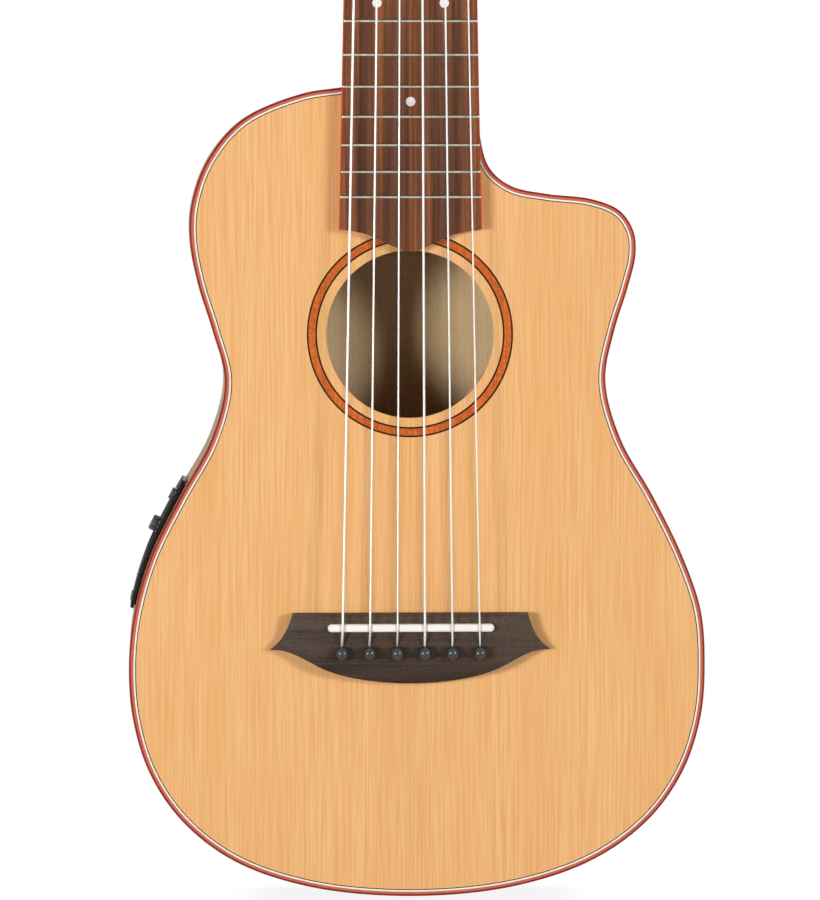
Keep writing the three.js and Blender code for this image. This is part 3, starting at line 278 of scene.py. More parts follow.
class Shape:
    """A mesh in the making, in millimetres."""

    def __init__(self) -> None:
        """Starts an empty mesh."""
        self.bm = bmesh.new()

    def loop(self, points: Iterable[Sequence[float]]) -> list[bmesh.types.BMEdge]:
        """Adds a closed loop of edges through points and returns its edges."""
        verts = [self.bm.verts.new(point) for point in points]
        return [self.bm.edges.new((verts[n - 1], verts[n])) for n in range(len(verts))]

    def plate(self, outer: Sequence[Point2], front: float, back: float,
              holes: Sequence[Sequence[Point2]] = ()) -> "Shape":
        """Adds a flat plate.

        Args:
            outer: its outline in x and z.
            front: y of its front face.
            back: y of its back face.
            holes: outlines of its holes.

        Returns:
            This shape.
        """
        edges: list[bmesh.types.BMEdge] = []
        for outline in (outer, *holes):
            edges += self.loop((x, front, z) for x, z in outline)
        filled = bmesh.ops.triangle_fill(self.bm, use_beauty=True, edges=edges)
        faces = [item for item in filled["geom"] if isinstance(item, bmesh.types.BMFace)]
        pushed = bmesh.ops.extrude_face_region(self.bm, geom=faces)
        verts = [item for item in pushed["geom"] if isinstance(item, bmesh.types.BMVert)]
        bmesh.ops.translate(self.bm, verts=verts, vec=(0, back - front, 0))
        bmesh.ops.recalc_face_normals(self.bm, faces=self.bm.faces[:])
        return self

    def loft(self, rings: Sequence[Sequence[Sequence[float]]], ends: bool = True) -> "Shape":
        """Adds a skin through closed rings.

        Args:
            rings: the rings' points, each ring with as many.
            ends: whether the first and last ring are closed with a face.

        Returns:
            This shape.
        """
        loops = [self.loop(ring) for ring in rings]
        for first, second in zip(loops, loops[1:]):
            bmesh.ops.bridge_loops(self.bm, edges=first + second)
        if ends:
            for edges in (loops[0], loops[-1]):
                bmesh.ops.contextual_create(self.bm, geom=edges)
        bmesh.ops.recalc_face_normals(self.bm, faces=self.bm.faces[:])
        return self

    def turned(self, profile: Sequence[Point2], steps: int = 32) -> "Shape":
        """Adds a piece turned about Y from a profile of radius and y."""
        verts = [self.bm.verts.new((radius, y, 0)) for radius, y in profile]
        edges = [self.bm.edges.new(pair) for pair in zip(verts, verts[1:])]
        bmesh.ops.spin(self.bm, geom=verts + edges, cent=(0, 0, 0), axis=(0, 1, 0),
                       angle=2 * math.pi, steps=steps, use_merge=True)
        bmesh.ops.remove_doubles(self.bm, verts=self.bm.verts[:], dist=1e-4)
        bmesh.ops.recalc_face_normals(self.bm, faces=self.bm.faces[:])
        return self

    def box(self, low: Sequence[float], high: Sequence[float]) -> "Shape":
        """Adds a box between two corners."""
        size = [b - a for a, b in zip(low, high)]
        middle = [(a + b) / 2 for a, b in zip(low, high)]
        place = Matrix.Translation(middle) @ Matrix.Diagonal((*size, 1))
        bmesh.ops.create_cube(self.bm, size=1, matrix=place)
        return self

    def cut_along(self, axis: int, places: Iterable[float]) -> "Shape":
        """Cuts edges and faces where they pass planes across an axis, and keeps both sides."""
        normal = Vector((0, 0, 0))
        normal[axis] = 1
        for place in places:
            geom = self.bm.verts[:] + self.bm.edges[:] + self.bm.faces[:]
            bmesh.ops.bisect_plane(self.bm, geom=geom, plane_co=normal * place, plane_no=normal)
        return self

    def bevel(self, edges: Iterable[bmesh.types.BMEdge], width: float, segments: int = 3) -> "Shape":
        """Rounds edges."""
        bmesh.ops.bevel(self.bm, geom=list(edges), offset=width, offset_type="OFFSET", segments=segments,
                        profile=0.5, affect="EDGES", clamp_overlap=True, material=-1)
        return self

    def sharp_edges(self, angle: float = 40) -> list[bmesh.types.BMEdge]:
        """The edges whose faces meet at more than an angle in degrees."""
        limit = math.radians(angle)
        return [e for e in self.bm.edges if len(e.link_faces) == 2 and e.calc_face_angle(0) > limit]

    def round_all(self, width: float, segments: int = 2, angle: float = 40) -> "Shape":
        """Rounds every sharp edge."""
        return self.bevel(self.sharp_edges(angle), width, segments)

    def screw(self, place: Point2, radius: float, seat: float, face: float, slot: float = 0.28) -> "Shape":
        """Adds a slotted screw head.

        Args:
            place: its middle in x and z.
            radius: the head's radius.
            seat: y of the face that it sits on.
            face: y of its own face.
            slot: half the slot's width.

        Returns:
            This shape.
        """
        floor = seat + (face - seat) * 0.4
        self.plate(circle(radius, *place, 28), *sorted((seat, floor)))
        start = math.asin(slot / radius)
        for side in (-1, 1):
            angles = [start + (math.pi - 2 * start) * step / 12 for step in range(13)]
            half = [(place[0] + radius * math.cos(a), place[1] + side * radius * math.sin(a)) for a in angles]
            self.plate(half, *sorted((floor, face)))
        return self

    def move(self, matrix: Matrix) -> "Shape":
        """Moves, turns or scales the whole mesh."""
        bmesh.ops.transform(self.bm, matrix=matrix, verts=self.bm.verts[:])
        return self

    def publish(self, name: str, material: bpy.types.Material, body: str = "root",
                replaces: Sequence[str] = (), slot: str = "", sharp: float = 32) -> bpy.types.Object:
        """Turns the mesh into a piece of the scene, in metres.

        Args:
            name: the piece's name.
            material: what it is dressed with.
            body: the moving body it rides on.
            replaces: the frame's nodes that it stands for.
            slot: not used.
            sharp: edges over this angle in degrees stay sharp.

        Returns:
            The new object.
        """
        bmesh.ops.scale(self.bm, vec=(MM, MM, MM), verts=self.bm.verts[:])
        for face in self.bm.faces:
            face.smooth = True
        for edge in self.sharp_edges(sharp):
            edge.smooth = False
        mesh = bpy.data.meshes.new(name)
        self.bm.to_mesh(mesh)
        self.bm.free()
        mesh.materials.append(material)
        return place_piece(bpy.data.objects.new(name, mesh), body, replaces)


def place_piece(piece: bpy.types.Object, body: str, replaces: Sequence[str]) -> bpy.types.Object:
    """Links an object, makes it ride and reports it."""
    bpy.context.scene.collection.objects.link(piece)
    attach(piece, body)
    if replaces:
        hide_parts(*replaces)
    LOG.info("%s on %s, %d faces", piece.name, body, len(piece.data.polygons))
    return piece


def line_inside(piece: bpy.types.Object, material: bpy.types.Material,
                inner: Callable[[bpy.types.MeshPolygon], bool]) -> None:
    """Gives the faces of a piece that look into the box a finish of their own, with painted shade or painted
    light for the inside of the box.
    """
    piece.data.materials.append(material)
    for face in piece.data.polygons:
        face.material_index = int(inner(face))


def dress(nodes: Iterable[str], material: bpy.types.Material) -> None:
    """Gives the frame's own nodes a material."""
    for node in nodes:
        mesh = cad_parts[node].data
        mesh.materials.clear()
        mesh.materials.append(material)
        LOG.info("%s dressed", node)


def tube(name: str, points: Sequence[Sequence[float]], radius: float, material: bpy.types.Material,
         body: str = "root", replaces: Sequence[str] = ()) -> bpy.types.Object:
    """A round cord along points, made a mesh.

    Args:
        name: the piece's name.
        points: the cord's middle, in millimetres.
        radius: its radius in millimetres.
        material: what it is dressed with.
        body: the moving body it rides on.
        replaces: the frame's nodes that it stands for.

    Returns:
        The new object.
    """
    curve = bpy.data.curves.new(name, "CURVE")
    curve.dimensions = "3D"
    curve.bevel_depth = radius * MM
    curve.bevel_resolution = 3
    curve.use_fill_caps = True
    spline = curve.splines.new("POLY")
    spline.points.add(len(points) - 1)
    for target, point in zip(spline.points, points):
        target.co = (*(value * MM for value in point), 1)
    draft = bpy.data.objects.new(f"{name}_draft", curve)
    bpy.context.scene.collection.objects.link(draft)
    bpy.context.view_layer.update()
    mesh = bpy.data.meshes.new_from_object(draft.evaluated_get(bpy.context.evaluated_depsgraph_get()))
    bpy.data.objects.remove(draft)
    bpy.data.curves.remove(curve)
    mesh.name = name
    mesh.materials.clear()
    mesh.materials.append(material)
    mesh.shade_smooth()
    return place_piece(bpy.data.objects.new(name, mesh), body, replaces)


# Finishes.

def srgb(red: int, green: int, blue: int) -> Colour:
    """A colour from its screen values, made linear."""
    def linear(value: int) -> float:
        """One channel, made linear."""
        share = value / 255
        return share / 12.92 if share <= 0.04045 else ((share + 0.055) / 1.055) ** 2.4
    return (linear(red), linear(green), linear(blue))


class Nodes:
    """Adds nodes to one node tree and links them."""

    def __init__(self, tree: bpy.types.NodeTree) -> None:
        """Keeps the tree.

        Args:
            tree: the node tree of a material, a world or a group.
        """
        self.tree = tree

    def add(self, kind: str, **settings: Any) -> bpy.types.Node:
        """Adds a node and sets its properties."""
        node = self.tree.nodes.new(kind)
        for name, value in settings.items():
            setattr(node, name, value)
        return node

    def feed(self, target: bpy.types.NodeSocket, value: Any) -> None:
        """Links a socket to another, or sets its value."""
        if isinstance(value, bpy.types.NodeSocket):
            self.tree.links.new(value, target)
        elif isinstance(value, tuple) and len(value) == 3 and target.type == "RGBA":
            target.default_value = (*value, 1)
        else:
            target.default_value = value

    def math(self, operation: str, first: Any, second: Any = 0.0,
             clamp: bool = False) -> bpy.types.NodeSocket:
        """A sum or another operation on two values."""
        node = self.add("ShaderNodeMath", operation=operation, use_clamp=clamp)
        self.feed(node.inputs[0], first)
        self.feed(node.inputs[1], second)
        return node.outputs[0]

    def vector(self, operation: str, first: Any, second: Any) -> bpy.types.NodeSocket:
        """An operation on two vectors."""
        node = self.add("ShaderNodeVectorMath", operation=operation)
        self.feed(node.inputs[0], first)
        self.feed(node.inputs[1], second)
        return node.outputs[0]

    def noise(self, vector: Any, detail: float = 2, roughness: float = 0.5) -> bpy.types.NodeSocket:
        """Noise with features about one unit apart."""
        node = self.add("ShaderNodeTexNoise")
        node.inputs["Scale"].default_value = 1
        node.inputs["Detail"].default_value = detail
        node.inputs["Roughness"].default_value = roughness
        self.feed(node.inputs["Vector"], vector)
        return node.outputs["Fac"]

    def spread(self, value: Any, low: Any, high: Any, to_low: Any = 0.0,
               to_high: Any = 1.0) -> bpy.types.NodeSocket:
        """Maps a range of values to another, smoothly and clamped."""
        node = self.add("ShaderNodeMapRange", interpolation_type="SMOOTHSTEP")
        for index, source in enumerate((value, low, high, to_low, to_high)):
            self.feed(node.inputs[index], source)
        return node.outputs[0]

    def mix(self, share: Any, first: Any, second: Any) -> bpy.types.NodeSocket:
        """A mix of two colours."""
        node = self.add("ShaderNodeMix", data_type="RGBA")
        self.feed(node.inputs[0], share)
        self.feed(node.inputs[6], first)
        self.feed(node.inputs[7], second)
        return node.outputs[2]

    def facing(self, axis: int, *limits: float) -> bpy.types.NodeSocket:
        """A mask by how far the surface looks along an axis."""
        parts = self.add("ShaderNodeSeparateXYZ")
        self.feed(parts.inputs[0], self.add("ShaderNodeNewGeometry").outputs["Normal"])
        return self.spread(parts.outputs[axis], *limits)

    def group(self, tree: bpy.types.NodeTree, **values: Any) -> bpy.types.Node:
        """Places a group; a value's name has low lines for the spaces in its socket's name."""
        node = self.add("ShaderNodeGroup", node_tree=tree)
        for name, value in values.items():
            self.feed(node.inputs[name.replace("_", " ")], value)
        return node


class Effect(Enum):
    """The shader groups that several finishes share."""

    GRAIN = "wood grain"
    SCUFFS = "scuffs and smudges"

    def tree(self) -> bpy.types.NodeTree:
        """The group's node tree, built when it is first asked for."""
        found = bpy.data.node_groups.get(self.value)
        if found:
            return found
        made = bpy.data.node_groups.new(self.value, "ShaderNodeTree")
        {Effect.GRAIN: build_grain, Effect.SCUFFS: build_scuffs}[self](made)
        return made


def add_sockets(tree: bpy.types.NodeTree, inputs: dict[str, str], outputs: dict[str, str]) -> tuple[Any, Any]:
    """Gives a group its named sockets.

    Args:
        tree: the group's node tree.
        inputs: the kind of each named input, such as Float.
        outputs: the kind of each named output.

    Returns:
        The group's input node and its output node.
    """
    for name, kind in inputs.items():
        tree.interface.new_socket(name, in_out="INPUT", socket_type=f"NodeSocket{kind}")
    for name, kind in outputs.items():
        tree.interface.new_socket(name, in_out="OUTPUT", socket_type=f"NodeSocket{kind}")
    return tree.nodes.new("NodeGroupInput"), tree.nodes.new("NodeGroupOutput")


def build_grain(tree: bpy.types.NodeTree) -> None:
    """Grain lines, broad streaks and pores of a piece of wood, each with its own size along the axes."""
    start, end = add_sockets(
        tree,
        {"Vector": "Vector", "Line Size": "Vector", "Streak Size": "Vector", "Pore Size": "Vector",
         "Mottle Size": "Vector", "Wander": "Float"},
        {"Lines": "Float", "Streaks": "Float", "Pores": "Float", "Mottle": "Float", "Height": "Float"},
    )
    nodes = Nodes(tree)
    place = start.outputs["Vector"]
    drift = nodes.noise(nodes.vector("MULTIPLY", place, (8, 8, 6)), 1)
    shift = nodes.math("MULTIPLY", nodes.math("SUBTRACT", drift, 0.5), start.outputs["Wander"])
    bent = nodes.vector("ADD", place, shift)
    lines = nodes.noise(nodes.vector("DIVIDE", bent, start.outputs["Line Size"]), 3, 0.55)
    streaks = nodes.noise(nodes.vector("DIVIDE", bent, start.outputs["Streak Size"]), 3, 0.5)
    pores = nodes.noise(nodes.vector("DIVIDE", place, start.outputs["Pore Size"]), 1, 0.4)
    mottle = nodes.noise(nodes.vector("DIVIDE", place, start.outputs["Mottle Size"]), 3, 0.6)
    line_mask = nodes.spread(lines, 0.36, 0.66)
    pore_mask = nodes.spread(pores, 0.62, 0.74)
    nodes.feed(end.inputs["Lines"], line_mask)
    nodes.feed(end.inputs["Streaks"], nodes.spread(streaks, 0.34, 0.66))
    nodes.feed(end.inputs["Pores"], pore_mask)
    nodes.feed(end.inputs["Mottle"], nodes.spread(mottle, 0.3, 0.7))
    nodes.feed(end.inputs["Height"],
               nodes.math("SUBTRACT", nodes.math("MULTIPLY", line_mask, 0.4), pore_mask))


def build_scuffs(tree: bpy.types.NodeTree) -> None:
    """Finger smudges and fine dust, as a mask and a change of roughness."""
    start, end = add_sockets(
        tree, {"Vector": "Vector", "Amount": "Float"},
        {"Mask": "Float", "Roughness": "Float", "Height": "Float"},
    )
    nodes = Nodes(tree)
    place = start.outputs["Vector"]
    clouds = nodes.spread(nodes.noise(nodes.vector("MULTIPLY", place, (35, 35, 35)), 4, 0.6), 0.42, 0.7)
    fine = nodes.noise(nodes.vector("MULTIPLY", place, (1600, 1600, 1600)), 2, 0.6)
    mask = nodes.math("MULTIPLY", clouds, start.outputs["Amount"])
    nodes.feed(end.inputs["Mask"], mask)
    nodes.feed(end.inputs["Roughness"], nodes.math("MULTIPLY", mask, 0.25))
    nodes.feed(end.inputs["Height"], fine)


class Grain(Enum):
    """Which way a piece's wood runs."""

    ALONG = (0, 1, 2)
    ACROSS = (2, 1, 0)
    ROUND_THE_SIDES = (1, 0, 2)

    def sized(self, across: float, deep: float, along: float) -> tuple[float, float, float]:
        """Sizes of a feature in metres for the three axes, from millimetres across, into and along."""
        size = [0.0, 0.0, 0.0]
        for axis, value in zip(self.value, (across, deep, along)):
            size[axis] = value * MM
        return (size[0], size[1], size[2])


# Limits of the normal, and the shares there, of a face that looks to the front, which takes a painted
# highlight; limits of an upper flank, which takes painted shade.
FRONT_HIGHLIGHT_MASK = (-0.998, -0.965, 0.7, 0.0)
FLANK_LIMITS = (0.1, 0.4)


@dataclass(frozen=True)
class Wood:
    """A wood and its varnish."""

    name: str
    light: Colour
    dark: Colour
    streak: Colour
    line_spacing: float = 0.9
    line_share: float = 0.5
    streak_width: float = 14
    streak_share: float = 0.3
    pore_share: float = 0.0
    mottle_share: float = 0.12
    mottle_size: float = 1.1
    seam_share: float = 0.0
    roughness: float = 0.42
    specular: float = 0.4
    coat: float = 0.0
    bump: float = 0.12
    wander: float = 0.004
    # face: a painted highlight colour for the faces that look to the front
    face: Colour | None = None

    def build(self, grain: Grain = Grain.ALONG) -> bpy.types.Material:
        """Makes the material for one way of the grain.

        Args:
            grain: which way the wood runs.

        Returns:
            The material, made once for each way.
        """
        name = f"{self.name}_{grain.name.lower()}"
        if name in bpy.data.materials:
            return bpy.data.materials[name]
        material = bpy.data.materials.new(name)
        material.use_nodes = True
        nodes = Nodes(material.node_tree)
        shader = material.node_tree.nodes["Principled BSDF"]
        place = nodes.add("ShaderNodeTexCoord").outputs["Object"]
        wood = nodes.group(
            Effect.GRAIN.tree(), Vector=place, Wander=self.wander,
            Line_Size=grain.sized(self.line_spacing, self.line_spacing * 6, self.line_spacing * 70),
            Streak_Size=grain.sized(self.streak_width, self.streak_width * 2, self.streak_width * 16),
            Pore_Size=grain.sized(0.22, 0.4, 3.2),
            Mottle_Size=grain.sized(self.mottle_size, self.mottle_size, self.mottle_size * 0.7),
        )
        marks = nodes.group(Effect.SCUFFS.tree(), Vector=place, Amount=0.5)
        lines = nodes.math("MULTIPLY", wood.outputs["Lines"], self.line_share)
        colour = nodes.mix(lines, self.light, self.dark)
        colour = nodes.mix(nodes.math("MULTIPLY", wood.outputs["Streaks"], self.streak_share), colour,
                           self.streak)
        colour = nodes.mix(nodes.math("MULTIPLY", wood.outputs["Pores"], self.pore_share), colour,
                           tuple(value * 0.35 for value in self.dark))
        deeper = tuple(value * 0.7 for value in self.dark)
        colour = nodes.mix(nodes.math("MULTIPLY", wood.outputs["Mottle"], self.mottle_share), colour, deeper)
        if self.seam_share:
            colour = nodes.mix(self.seam(nodes, place), colour, deeper)
        # Painted highlight: faces that look to the front take the face colour in place of the lamps'
        # highlight.
        if self.face:
            colour = nodes.mix(nodes.facing(1, *FRONT_HIGHLIGHT_MASK), colour, self.face)
        nodes.feed(shader.inputs["Base Color"], colour)
        rough = nodes.math("ADD", nodes.math("MULTIPLY", wood.outputs["Lines"], 0.06), self.roughness)
        nodes.feed(shader.inputs["Roughness"], nodes.math("ADD", rough, marks.outputs["Roughness"]))
        shader.inputs["Specular IOR Level"].default_value = self.specular
        shader.inputs["Coat Weight"].default_value = self.coat
        shader.inputs["Coat Roughness"].default_value = 0.12
        bump = nodes.add("ShaderNodeBump")
        bump.inputs["Strength"].default_value = self.bump
        bump.inputs["Distance"].default_value = 0.0001
        nodes.feed(bump.inputs["Height"], wood.outputs["Height"])
        nodes.feed(shader.inputs["Normal"], bump.outputs["Normal"])
        return material

    def seam(self, nodes: Nodes, place: bpy.types.NodeSocket) -> bpy.types.NodeSocket:
        """The glued joint between two matched halves, on the centreline, with darker wood beside it."""
        parts = nodes.add("ShaderNodeSeparateXYZ")
        nodes.feed(parts.inputs[0], place)
        away = nodes.math("ABSOLUTE", parts.outputs[0])
        line = nodes.math("MULTIPLY", nodes.spread(away, 0.0001, 0.0005, 1.0, 0.0), self.seam_share)
        beside = nodes.math("MULTIPLY", nodes.spread(away, 0.001, 0.02, 1.0, 0.0), self.seam_share * 0.25)
        return nodes.math("MAXIMUM", line, beside)


@dataclass(frozen=True)
class Plain:
    """A moulded plastic, bone or metal finish."""

    name: str
    colour: Colour
    mottle: Colour
    mottle_size: float = 6
    roughness: float = 0.35
    metallic: float = 0.0
    bump: float = 0.08
    coat: float = 0.0
    specular: float = 0.5
    smudges: float = 0.5
    shade_above: float = 0.0
    stretch: tuple[float, float, float] = (1, 1, 1)

    def build(self) -> bpy.types.Material:
        """Makes the material once and returns it."""
        if self.name in bpy.data.materials:
            return bpy.data.materials[self.name]
        material = bpy.data.materials.new(self.name)
        material.use_nodes = True
        nodes = Nodes(material.node_tree)
        shader = material.node_tree.nodes["Principled BSDF"]
        place = nodes.add("ShaderNodeTexCoord").outputs["Object"]
        size = tuple(self.mottle_size * MM * share for share in self.stretch)
        mottle = nodes.spread(nodes.noise(nodes.vector("DIVIDE", place, size), 4, 0.6), 0.35, 0.7)
        marks = nodes.group(Effect.SCUFFS.tree(), Vector=place, Amount=self.smudges)
        colour = nodes.mix(mottle, self.colour, self.mottle)
        if self.shade_above:
            # Painted shade: a fret's upper flank is darkened, standing in for the shade and dark reflection
            # above its crown.
            painted_shade_flank = nodes.facing(2, *FLANK_LIMITS, 0.0, self.shade_above)
            colour = nodes.mix(painted_shade_flank, colour, tuple(value * 0.08 for value in self.mottle))
        nodes.feed(shader.inputs["Base Color"], colour)
        nodes.feed(shader.inputs["Roughness"], nodes.math("ADD", marks.outputs["Roughness"], self.roughness))
        shader.inputs["Metallic"].default_value = self.metallic
        shader.inputs["Specular IOR Level"].default_value = self.specular
        shader.inputs["Coat Weight"].default_value = self.coat
        bump = nodes.add("ShaderNodeBump")
        bump.inputs["Strength"].default_value = self.bump
        bump.inputs["Distance"].default_value = 0.00005
        nodes.feed(bump.inputs["Height"], marks.outputs["Height"])
        nodes.feed(shader.inputs["Normal"], bump.outputs["Normal"])
        return material


CEDAR = Wood("cedar_top", srgb(251, 200, 140), srgb(230, 160, 84), srgb(238, 178, 106), line_spacing=0.75,
             line_share=0.65, streak_width=16, streak_share=0.4, mottle_share=0.42, mottle_size=0.5,
             seam_share=0.3, roughness=0.46)
# The binding's pink face colour is a painted highlight of the lamps on its flat front.
RED_BINDING = Wood("red_binding", srgb(156, 46, 22), srgb(104, 26, 14), srgb(176, 68, 42), line_spacing=0.5,
                   streak_width=6, streak_share=0.4, roughness=0.36, specular=0.12, face=srgb(222, 122, 100))
EDGING_WOOD = Wood("edging_wood", srgb(210, 80, 38), srgb(154, 48, 24), srgb(216, 104, 62), line_spacing=0.5,
                   streak_width=6, streak_share=0.4, specular=0.12)
ROSETTE_WOOD = Wood("rosette_wood", srgb(242, 126, 52), srgb(166, 78, 32), srgb(204, 96, 40),
                    line_spacing=0.7, line_share=0.6, streak_width=3, streak_share=0.7, mottle_share=0.5,
                    mottle_size=2.2, specular=0.12)
SIDE_WOOD = Wood("side_wood", srgb(206, 178, 134), srgb(176, 142, 100), srgb(160, 122, 82), line_spacing=1.4,
                 streak_width=11, streak_share=0.5, pore_share=0.4, roughness=0.46, specular=0.15)
# Raw wood for the back's inner face, paler than the back's outside: partly the paler unfinished wood, partly
# painted light that brightens the lamp pools seen through the soundhole.
RAW_AND_LIT_BACK_WOOD = Wood("raw_back_wood_painted_light", srgb(253, 226, 178), srgb(246, 206, 152), srgb(242, 198, 140),
                line_spacing=1.4, streak_width=11, streak_share=0.4, pore_share=0.3, roughness=0.8,
                specular=0.02)
# Darker brown for the faces inside the box: painted shade, as little light gets in.
SHADED_INSIDE_WOOD = Wood("inner_face_painted_shade", srgb(164, 94, 44), srgb(134, 74, 34), srgb(146, 82, 38), line_spacing=1.4,
                roughness=0.8, specular=0.02)
NECK_WOOD = Wood("neck_mahogany", srgb(150, 82, 50), srgb(112, 56, 34), srgb(132, 66, 40), line_spacing=1.1,
                 streak_width=10, streak_share=0.5, pore_share=0.6, roughness=0.42, specular=0.3)
BOARD_WOOD = Wood("board_rosewood", srgb(156, 95, 60), srgb(94, 56, 38), srgb(84, 58, 48),
                  line_spacing=1.3, line_share=0.85, streak_width=6, streak_share=0.7, pore_share=0.6,
                  roughness=0.5, specular=0.1)
BRIDGE_WOOD = Wood("bridge_blackwood", srgb(70, 56, 48), srgb(34, 26, 22), srgb(112, 92, 76),
                   line_spacing=0.9, line_share=0.7, streak_width=12, streak_share=0.55, pore_share=0.5,
                   mottle_share=0.4, roughness=0.46, specular=0.14)
INNER_WOOD = Wood("inner_spruce", srgb(214, 186, 146), srgb(190, 156, 112), srgb(200, 168, 124),
                  line_spacing=1.2, streak_share=0.3, roughness=0.7)
BLOCK_WOOD = Wood("block_mahogany", srgb(156, 100, 66), srgb(122, 72, 46), srgb(134, 82, 52),
                  line_spacing=1.3, pore_share=0.6, roughness=0.7)
WHITE_LINE = Plain("white_line", srgb(252, 248, 240), srgb(240, 233, 220), 3, 0.4, specular=0.2)
BLACK_LINE = Plain("black_line", srgb(46, 28, 20), srgb(32, 20, 16), 3, 0.45, specular=0.1)
BONE = Plain("bone", srgb(255, 254, 250), srgb(251, 247, 239), 3, 0.3, coat=0.3)
PEARL = Plain("pearl", srgb(250, 246, 247), srgb(232, 226, 229), 2.5, 0.22, coat=0.5)
CREAM_PEARL = Plain("cream_pearl", srgb(238, 230, 212), srgb(214, 200, 174), 4, 0.18, coat=0.8)
NYLON = Plain("nylon", srgb(246, 246, 242), srgb(232, 232, 226), 1.5, 0.25)
WOUND = Plain("wound_silver", srgb(240, 238, 232), srgb(214, 212, 206), 0.6, 0.3, metallic=0.3, bump=0.3)
PIN_PLASTIC = Plain("pin_plastic", srgb(22, 17, 15), srgb(30, 24, 21), 1.5, 0.12, specular=0.08)
BLACK_PLASTIC = Plain("black_plastic", srgb(40, 36, 33), srgb(50, 46, 42), 1.2, 0.6, bump=0.25, specular=0.06)
KNOB_PLASTIC = Plain("knob_plastic", srgb(46, 38, 34), srgb(60, 51, 45), 1.0, 0.4, bump=0.2, specular=0.2)
CHROME = Plain("chrome", srgb(214, 213, 210), srgb(196, 195, 192), 5, 0.14, metallic=1.0, smudges=0.6)
# shade_above paints shade on the upper flank of each fret.
NICKEL = Plain("fret_nickel", srgb(188, 184, 168), srgb(162, 158, 144), 2, 0.26, metallic=1.0,
               shade_above=0.92)
LENS = Plain("indicator_lens", srgb(120, 22, 18), srgb(92, 16, 14), 1, 0.1, coat=0.6)
WHITE_INK = Plain("white_ink", srgb(226, 226, 222), srgb(208, 208, 204), 1, 0.5)
BRASS = Plain("gear_brass", srgb(204, 168, 96), srgb(170, 132, 70), 2, 0.28, metallic=1.0)
STEEL = Plain("plain_steel", srgb(190, 190, 188), srgb(168, 168, 166), 3, 0.3, metallic=1.0)
BATTERY_CASE = Plain("battery_case", srgb(60, 74, 92), srgb(52, 64, 82), 5, 0.35)


# Sub-assemblies.

